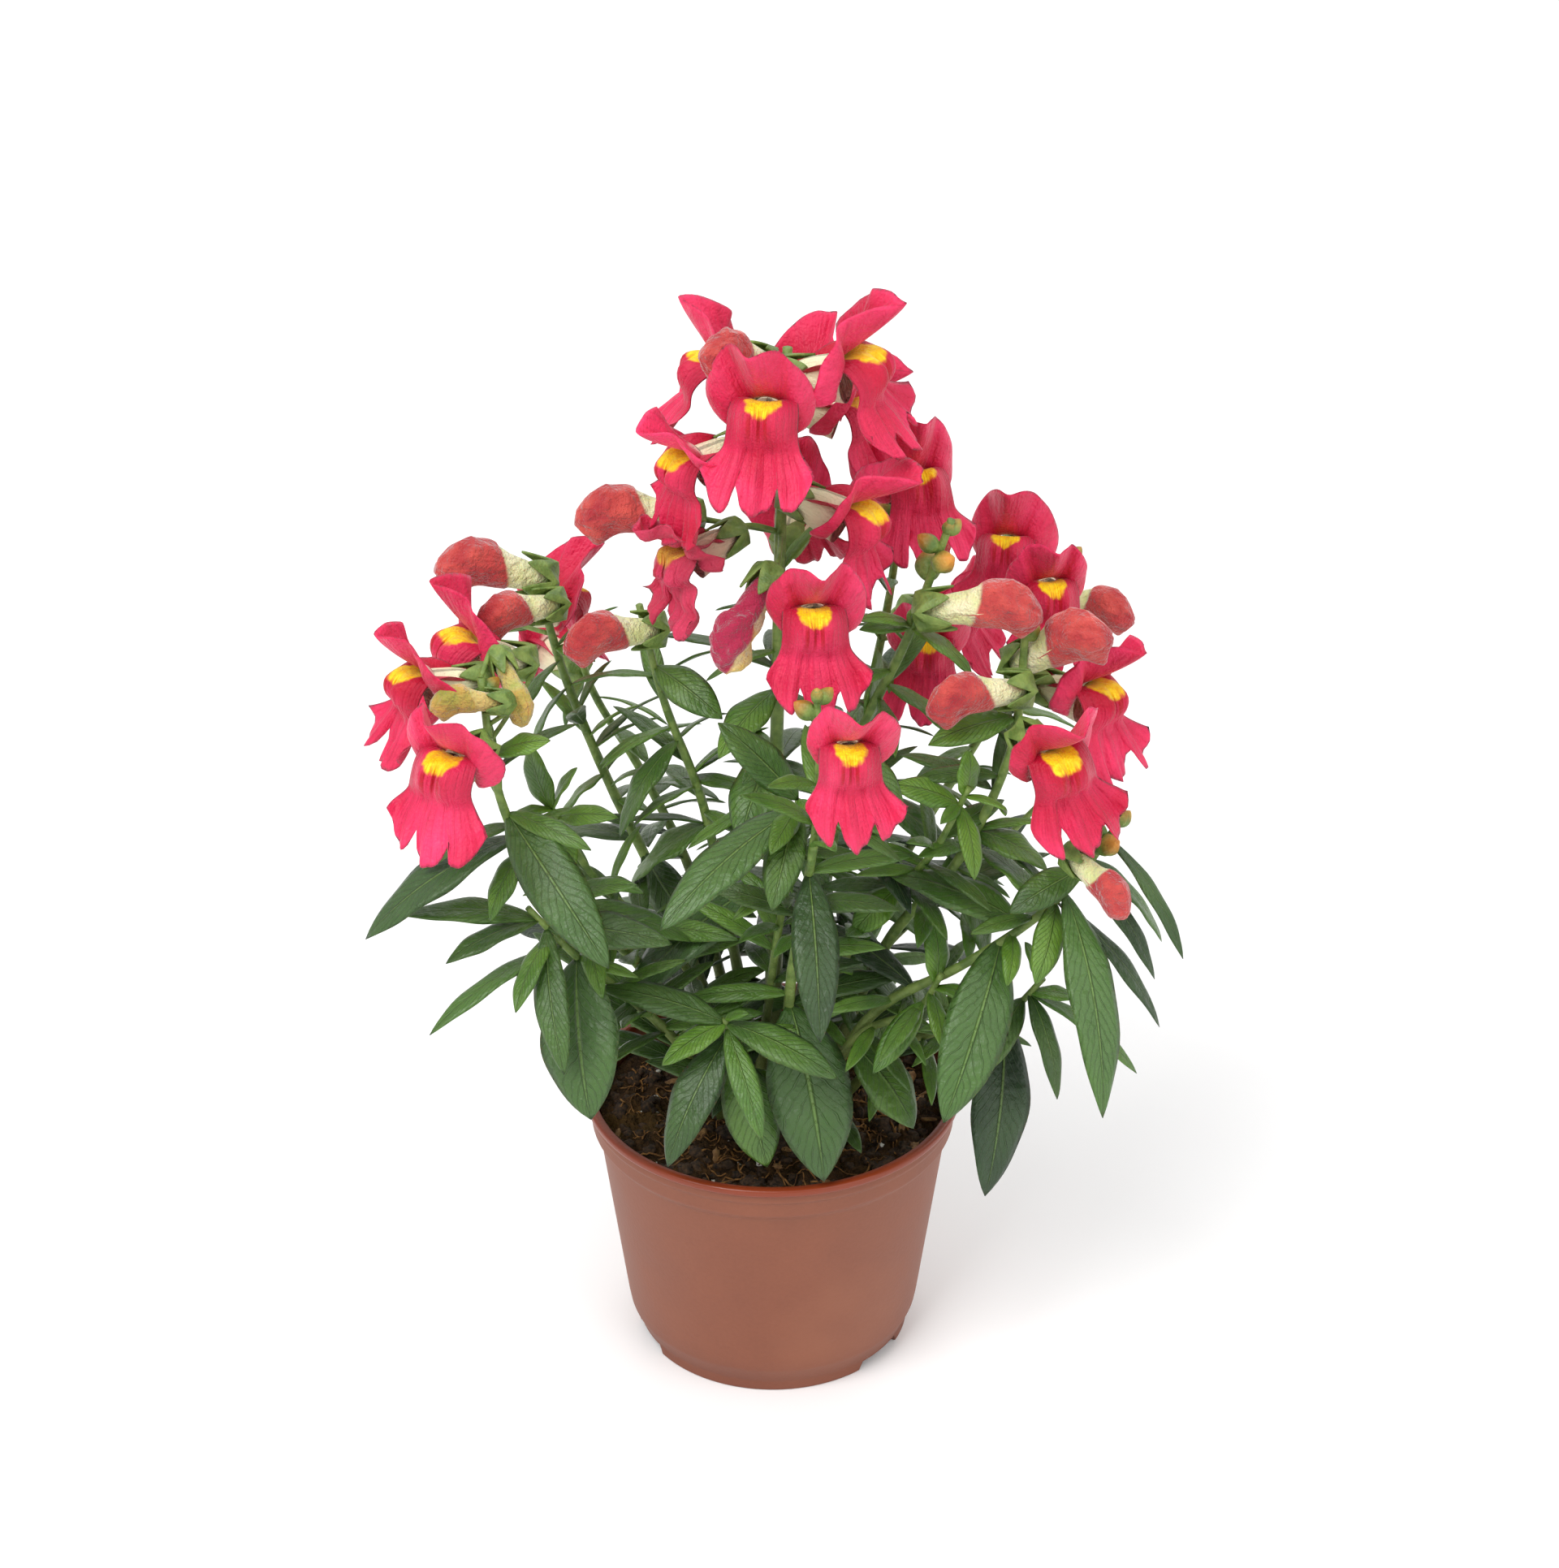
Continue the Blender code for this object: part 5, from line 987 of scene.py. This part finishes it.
def growPlant():
    draw = random.Random(7)
    leafMaterial, stemMaterial = leafFinish(), stemFinish()
    petalMaterial, budMaterial = petalFinish(), budFinish()
    routes = {name: stemRoute(spec) for name, spec in stems.items()}
    green = {name: Batch() for name in stems}
    bloomCorners = [(26.0, 14.0, -7.9), (26.0, -14.0, -7.9)]
    for name, spec in stems.items():
        points, faces, _, _ = stemTube(routes[name], spec["thick"])
        green[name].add(points, faces, ripe=0.0)
    for i, (name, spec) in enumerate(blooms.items()):
        origin, axes, scale = flowerPlace(name, spec, bloom["size"], bloom["reach"], bloomCorners)
        batch = Batch()
        addBloom(batch, origin, axes, scale, 100 + i, 0.9 if "faded" in name else 0.0)
        batch.make(name + "_petals", petalMaterial, name, "petal")
        holdFlower(green[spec[0]], routes[spec[0]], origin, axes, scale)
    for name, spec in buds.items():
        origin, axes, scale = flowerPlace(name, spec, bud["size"], bud["reach"], [(22.0, 0, -8.5)])
        batch = Batch()
        ripe = 0.15 if name in ("bud_left_tip", "bud_left_green") else 1.0
        addBud(batch, origin, axes, scale, 1.0 if name == "bud_withered" else 0.0, ripe)
        batch.make(name + "_cap", budMaterial, name, "bud")
        holdFlower(green[spec[0]], routes[spec[0]], origin, axes, scale)
    print("flowers set")
    crown = solidCrown()
    for k, (name, spec) in enumerate(stems.items()):
        if spec["tips"]:
            addTips(green[name], name, fine(routes[name]), spec["tips"])
        green[name].make(name + "_stalks", stemMaterial, name, "leaf")
        rows = leavesOf(name, spec, routes[name], draw)
        rows += sideLeaves(crown, routes[name], leaf["sideTries"], 300 + k)
        points, faces, values = leafBlades(rows, 40 + k)
        batch = Batch()
        batch.add(points, faces, **values)
        batch.make(name + "_leaves", leafMaterial, name, "leaf")
        print(name, "leaves", len(rows))


def holdFlower(batch, route, origin, axes, scale):
    line = fine(route)
    start = line[np.argmin(np.linalg.norm(line - (origin - axes[0] * 8 - up * 4), axis=1))]
    neck = origin - axes[0] * (calyx["clear"] + calyx["floor"] - 1.0)
    points, faces, _, _ = stalkTube(start, neck, axes[0])
    batch.add(points, faces, ripe=0.0)
    points, faces, _, _ = calyxCup(origin, axes, scale)
    batch.add(points, faces, ripe=0.0)


def addTips(batch, name, line, count):
    cloud = nodePoints(name)
    rows = [(line[-2], unit(line[-1] - line[-2]), 3.0)]
    for k in range(count):
        turn = spiral * k + 0.6
        rows.append((line[-2 - k], unit(np.array([math.cos(turn), math.sin(turn), 0.7])),
                     youngBuds["size"] + youngBuds["growth"] * k))
    for foot, direction, size in rows:
        # a bud that the solid left out for want of room is left out here too
        end = foot + direction * size * youngBuds["slender"]
        if np.min(np.linalg.norm(cloud - end, axis=1)) < 0.1:
            points, faces, _, v = youngBud(foot, direction, size)
            batch.add(points, faces, ripe=np.clip(v * 1.6 - 0.7, 0, 1) * min(1.0, size / 5.5))


def revolve(profile, sides):
    angle = np.linspace(0, 2 * np.pi, sides, endpoint=False)[None, :]
    r, z = np.array(profile, float).T
    return np.stack([r[:, None] * np.cos(angle), r[:, None] * np.sin(angle), z[:, None] + 0 * angle], axis=-1)


def rounded(corners, radius, steps=5):
    # a line whose inner corners are arcs: each corner gives points on a quadratic bend
    corners = np.array(corners, float)
    out = [corners[0]]
    for a, b, c in zip(corners[:-2], corners[1:-1], corners[2:]):
        cutA = min(radius, np.linalg.norm(a - b) * 0.45)
        cutC = min(radius, np.linalg.norm(c - b) * 0.45)
        p, q = b + (a - b) / np.linalg.norm(a - b) * cutA, b + (c - b) / np.linalg.norm(c - b) * cutC
        t = np.linspace(0, 1, steps)[:, None]
        out += list(p * (1 - t) ** 2 + b * 2 * t * (1 - t) + q * t ** 2)
    return np.array(out + [corners[-1]])


def makePot():
    # the wall's section, from the foot ring up the outside, over the lip and down the inside
    p = pot
    stepZ = p["height"] - p["bandHeight"]
    lipZ = p["height"] - p["lipHeight"]
    floorZ = p["footHeight"] + p["floor"]
    bandR = p["rimR"] - p["lipOut"]
    wallR = bandR - p["bandStep"]
    outer = [(p["footR"] - p["footWidth"], 0.0), (p["footR"], 0), (p["footR"], p["footHeight"]),
             (p["wallBottomR"] - 0.6, p["wallBottomZ"] - 3.5), (p["wallBottomR"], p["wallBottomZ"]),
             (wallR, stepZ - 1.5), (bandR, stepZ + 0.6), (bandR + 0.1, lipZ - 3.0), (bandR + 0.9, lipZ - 2.2),
             (bandR + 0.6, lipZ), (p["rimR"], lipZ + 0.5), (p["rimR"], p["height"] - 0.4),
             (p["rimR"] - 1.0, p["height"]), (bandR - p["wall"], p["height"] - 0.4),
             (bandR - p["wall"], stepZ + 0.6), (wallR - p["wall"], stepZ - 2.0),
             (p["wallBottomR"] - p["wall"], p["wallBottomZ"]), (p["footR"] - p["wall"], floorZ)]
    line = rounded(outer, 0.7)
    under = [(0.05, p["footHeight"]), (p["footR"] - p["footWidth"], p["footHeight"])]
    profile = np.vstack([under, line, [(0.05, floorZ)]])
    rings = revolve(profile, p["sides"])
    angle = np.linspace(0, 2 * np.pi, p["sides"], endpoint=False)
    turn = 2 * np.pi / p["notches"]
    off = (angle - math.radians(p["notchStart"]) + turn / 2) % turn - turn / 2
    inNotch = np.abs(off * p["footR"]) < p["notchWidth"] / 2
    foot = rings[..., 2] < p["footHeight"] - 0.5
    lifted = np.maximum(rings[..., 2], p["footHeight"] - 0.45)
    rings[..., 2] = np.where(foot & inNotch[None], lifted, rings[..., 2])
    points, faces, _, _ = capped(rings, np.array([0, 0, p["footHeight"]]), np.array([0, 0, floorZ]))
    piece = meshObject("pot_body", points, faces, {}, potFinish(), "pot")
    cutHoles(piece)
    print("pot made")


def cutHoles(piece):
    p = pot
    holes = Batch()
    for k in range(p["holes"]):
        a = 2 * math.pi * (k + 0.5) / p["holes"]
        spot = np.array([math.cos(a), math.sin(a), 0]) * p["holeRing"]
        path = spot + np.linspace(-4, 12, 3)[:, None] * up
        points, faces, _, _ = tubeGrid(path, np.full(3, p["holeR"]), 32)
        holes.add(points, faces)
    tool = holes.make("holeTool", piece.data.materials[0], None, None)
    cut = piece.modifiers.new("holes", "BOOLEAN")
    cut.operation, cut.object, cut.solver = "DIFFERENCE", tool, "EXACT"
    done = bpy.data.meshes.new_from_object(piece.evaluated_get(bpy.context.evaluated_depsgraph_get()))
    piece.modifiers.clear()
    piece.data = done
    bpy.data.objects.remove(tool)


def soilHeight(x, y):
    # the lumps of the top: the solid's three waves, then finer crumbs from summed sines
    broad = 0.5 * np.sin(x * 0.31 + 1.3) * np.cos(y * 0.27) + 0.3 * np.sin(x * 0.13 - y * 0.34)
    broad = soil["lump"] * (broad + 0.2 * np.cos(x * 0.52 + y * 0.43))
    crumbs = np.zeros_like(x)
    for k in range(14):
        turn, pace = k * 2.399, 0.9 + 0.38 * k
        wave = np.sin((x * math.cos(turn) + y * math.sin(turn)) * pace + k * 1.7)
        crumbs = crumbs + wave / (1.2 + 0.35 * k)
    return broad + 0.5 * crumbs


def makeSoil():
    # the root ball's section follows the pot's inside at a small distance, then runs in to the axis
    bottom = 5.15
    inner = np.array([(37.05, bottom), (40.05, 12.0), (47.25, 65.5), (48.55, 68.5)])
    radius = np.linspace(1, 0, soil["rings"])[:-1] * inner[-1, 0]
    surface = np.stack([radius[1:], np.full(soil["rings"] - 2, soil["topZ"])], -1)
    profile = np.vstack([[(0.2, bottom)], inner, surface])
    rings = revolve(profile, soil["sides"])
    top = rings[..., 2] > 69
    settle = np.clip((inner[-1, 0] - np.hypot(rings[..., 0], rings[..., 1])) / 3, 0, 1)
    rings[..., 2] += np.where(top, soilHeight(rings[..., 0], rings[..., 1]) * settle, 0)
    middle = np.array([0.0, 0.0, soil["topZ"] + float(soilHeight(np.array(0.0), np.array(0.0)))])
    points, faces, _, _ = capped(rings, np.array([0, 0, bottom]), middle)
    meshObject("soil_bed", points, faces, {}, soilFinish(), "soil")
    draw = np.random.default_rng(5)
    clod = plainFinish("peatClod", srgb(30, 22, 16), srgb(84, 62, 42), 900, 0.85)
    grain = plainFinish("perliteGrain", srgb(206, 202, 190), srgb(240, 238, 230), 1200, 0.8)
    chip = plainFinish("woodChip", srgb(120, 84, 48), srgb(172, 132, 84), 700, 0.7)
    scatter(draw, "soil_clods", soil["clods"], (0.7, 2.0), clod, 0.35)
    scatter(draw, "soil_perlite", soil["perlite"], (0.5, 1.1), grain, 0.45)
    scatter(draw, "soil_chips", soil["chips"], (0.8, 1.5), chip, 0.4, 3.2)
    fibres(draw)
    print("soil made")


def scatter(draw, name, count, sizes, material, sink, stretch=1.3):
    # small rounded crumbs sunk in the top: bent spheres of 6 x 8 points
    reach = 46.0
    where = draw.uniform(-1, 1, (count * 3, 2)) * reach
    where = where[np.hypot(*where.T) < reach][:count]
    batch = Batch()
    s = np.linspace(0, np.pi, 8)[1:-1, None]
    angle = np.linspace(0, 2 * np.pi, 8, endpoint=False)[None, :]
    for x, y in where:
        size = draw.uniform(*sizes)
        turn = draw.uniform(0, 6.28)
        rough = 1 + draw.uniform(-0.25, 0.25, (6, 8))
        local = np.stack([np.sin(s) * np.cos(angle) * rough * stretch, np.sin(s) * np.sin(angle) * rough,
                          -np.cos(s) * rough * 0.8 + 0 * angle], -1) * size
        z = soil["topZ"] + float(soilHeight(np.array(x), np.array(y))) - size * sink
        c, d = math.cos(turn), math.sin(turn)
        spin = np.array([[c, d, draw.uniform(-0.4, 0.4)], [-d, c, draw.uniform(-0.3, 0.3)], [0, 0, 1]])
        rings = local @ spin + (x, y, z)
        ends = np.array([[0, 0, -0.8 * size], [0, 0, 0.8 * size]]) @ spin + (x, y, z)
        points, faces, _, _ = capped(rings, ends[0], ends[1])
        batch.add(points, faces)
    batch.make(name, material, "soil", "soil")


def fibres(draw):
    # loose peat fibres: short curved threads that lie on the lumps
    batch = Batch()
    for _ in range(soil["fibres"]):
        a, r = draw.uniform(0, 6.28), math.sqrt(draw.uniform(0, 1)) * 42
        t = np.linspace(-0.5, 0.5, 9)
        turn, length, bow = draw.uniform(0, 6.28), draw.uniform(4, 11), draw.uniform(-2, 2)
        x = r * math.cos(a) + t * length * math.cos(turn) - bow * t ** 2 * math.sin(turn) * 4
        y = r * math.sin(a) + t * length * math.sin(turn) + bow * t ** 2 * math.cos(turn) * 4
        path = np.stack([x, y, soil["topZ"] + soilHeight(x, y) + 0.45], -1)
        points, faces, _, _ = tubeGrid(path, np.full(9, draw.uniform(0.14, 0.3)), 5)
        batch.add(points, faces)
    thread = plainFinish("peatFibre", srgb(84, 56, 28), srgb(166, 118, 62), 500, 0.8)
    batch.make("soil_fibres", thread, "soil", "soil")


def makeStage():
    size = studio["floorSize"]
    corners = [(-size, -size, 0), (size, -size, 0), (size, size, 0), (-size, size, 0)]
    mesh = bpy.data.meshes.new("floor")
    mesh.from_pydata(corners, [], [(0, 1, 2, 3)])
    f = Finish("paleFloor", Roughness=0.9)
    f.out("Base Color", (studio["floorGrey"],) * 3)
    mesh.materials.append(f.material)
    floor = bpy.data.objects.new("floor", mesh)
    bpy.context.scene.collection.objects.link(floor)
    for name, (place, width, power) in lights.items():
        light = bpy.data.lights.new(name, "AREA")
        light.size, light.energy = width, power
        lamp = bpy.data.objects.new(name, light)
        lamp.location = place
        aim = Vector((0, 0, studio["lookAt"])) - Vector(place)
        lamp.rotation_euler = aim.to_track_quat("-Z", "Y").to_euler()
        bpy.context.scene.collection.objects.link(lamp)
    world = bpy.data.worlds.new("studio")
    world.use_nodes = True
    world.node_tree.nodes["Background"].inputs["Color"].default_value = (1, 1, 1, 1)
    world.node_tree.nodes["Background"].inputs["Strength"].default_value = studio["worldStrength"]
    bpy.context.scene.world = world
    bpy.context.scene.view_settings.view_transform = "Standard"
    lens = bpy.data.cameras.new("photoCamera")
    lens.sensor_width = studio["sensor"]
    lens.lens = camera["focusPx"] / camera["longSidePx"] * studio["sensor"]
    lens.clip_start, lens.clip_end = 0.05, 20
    shooter = bpy.data.objects.new("photoCamera", lens)
    shooter.location = (eye + potAxis) * mm
    shooter.rotation_euler = (math.radians(90 - camera["pitch"]), 0, 0)
    bpy.context.scene.collection.objects.link(shooter)
    bpy.context.scene.camera = shooter
    print("stage set")


makePot()
makeSoil()
growPlant()
makeStage()
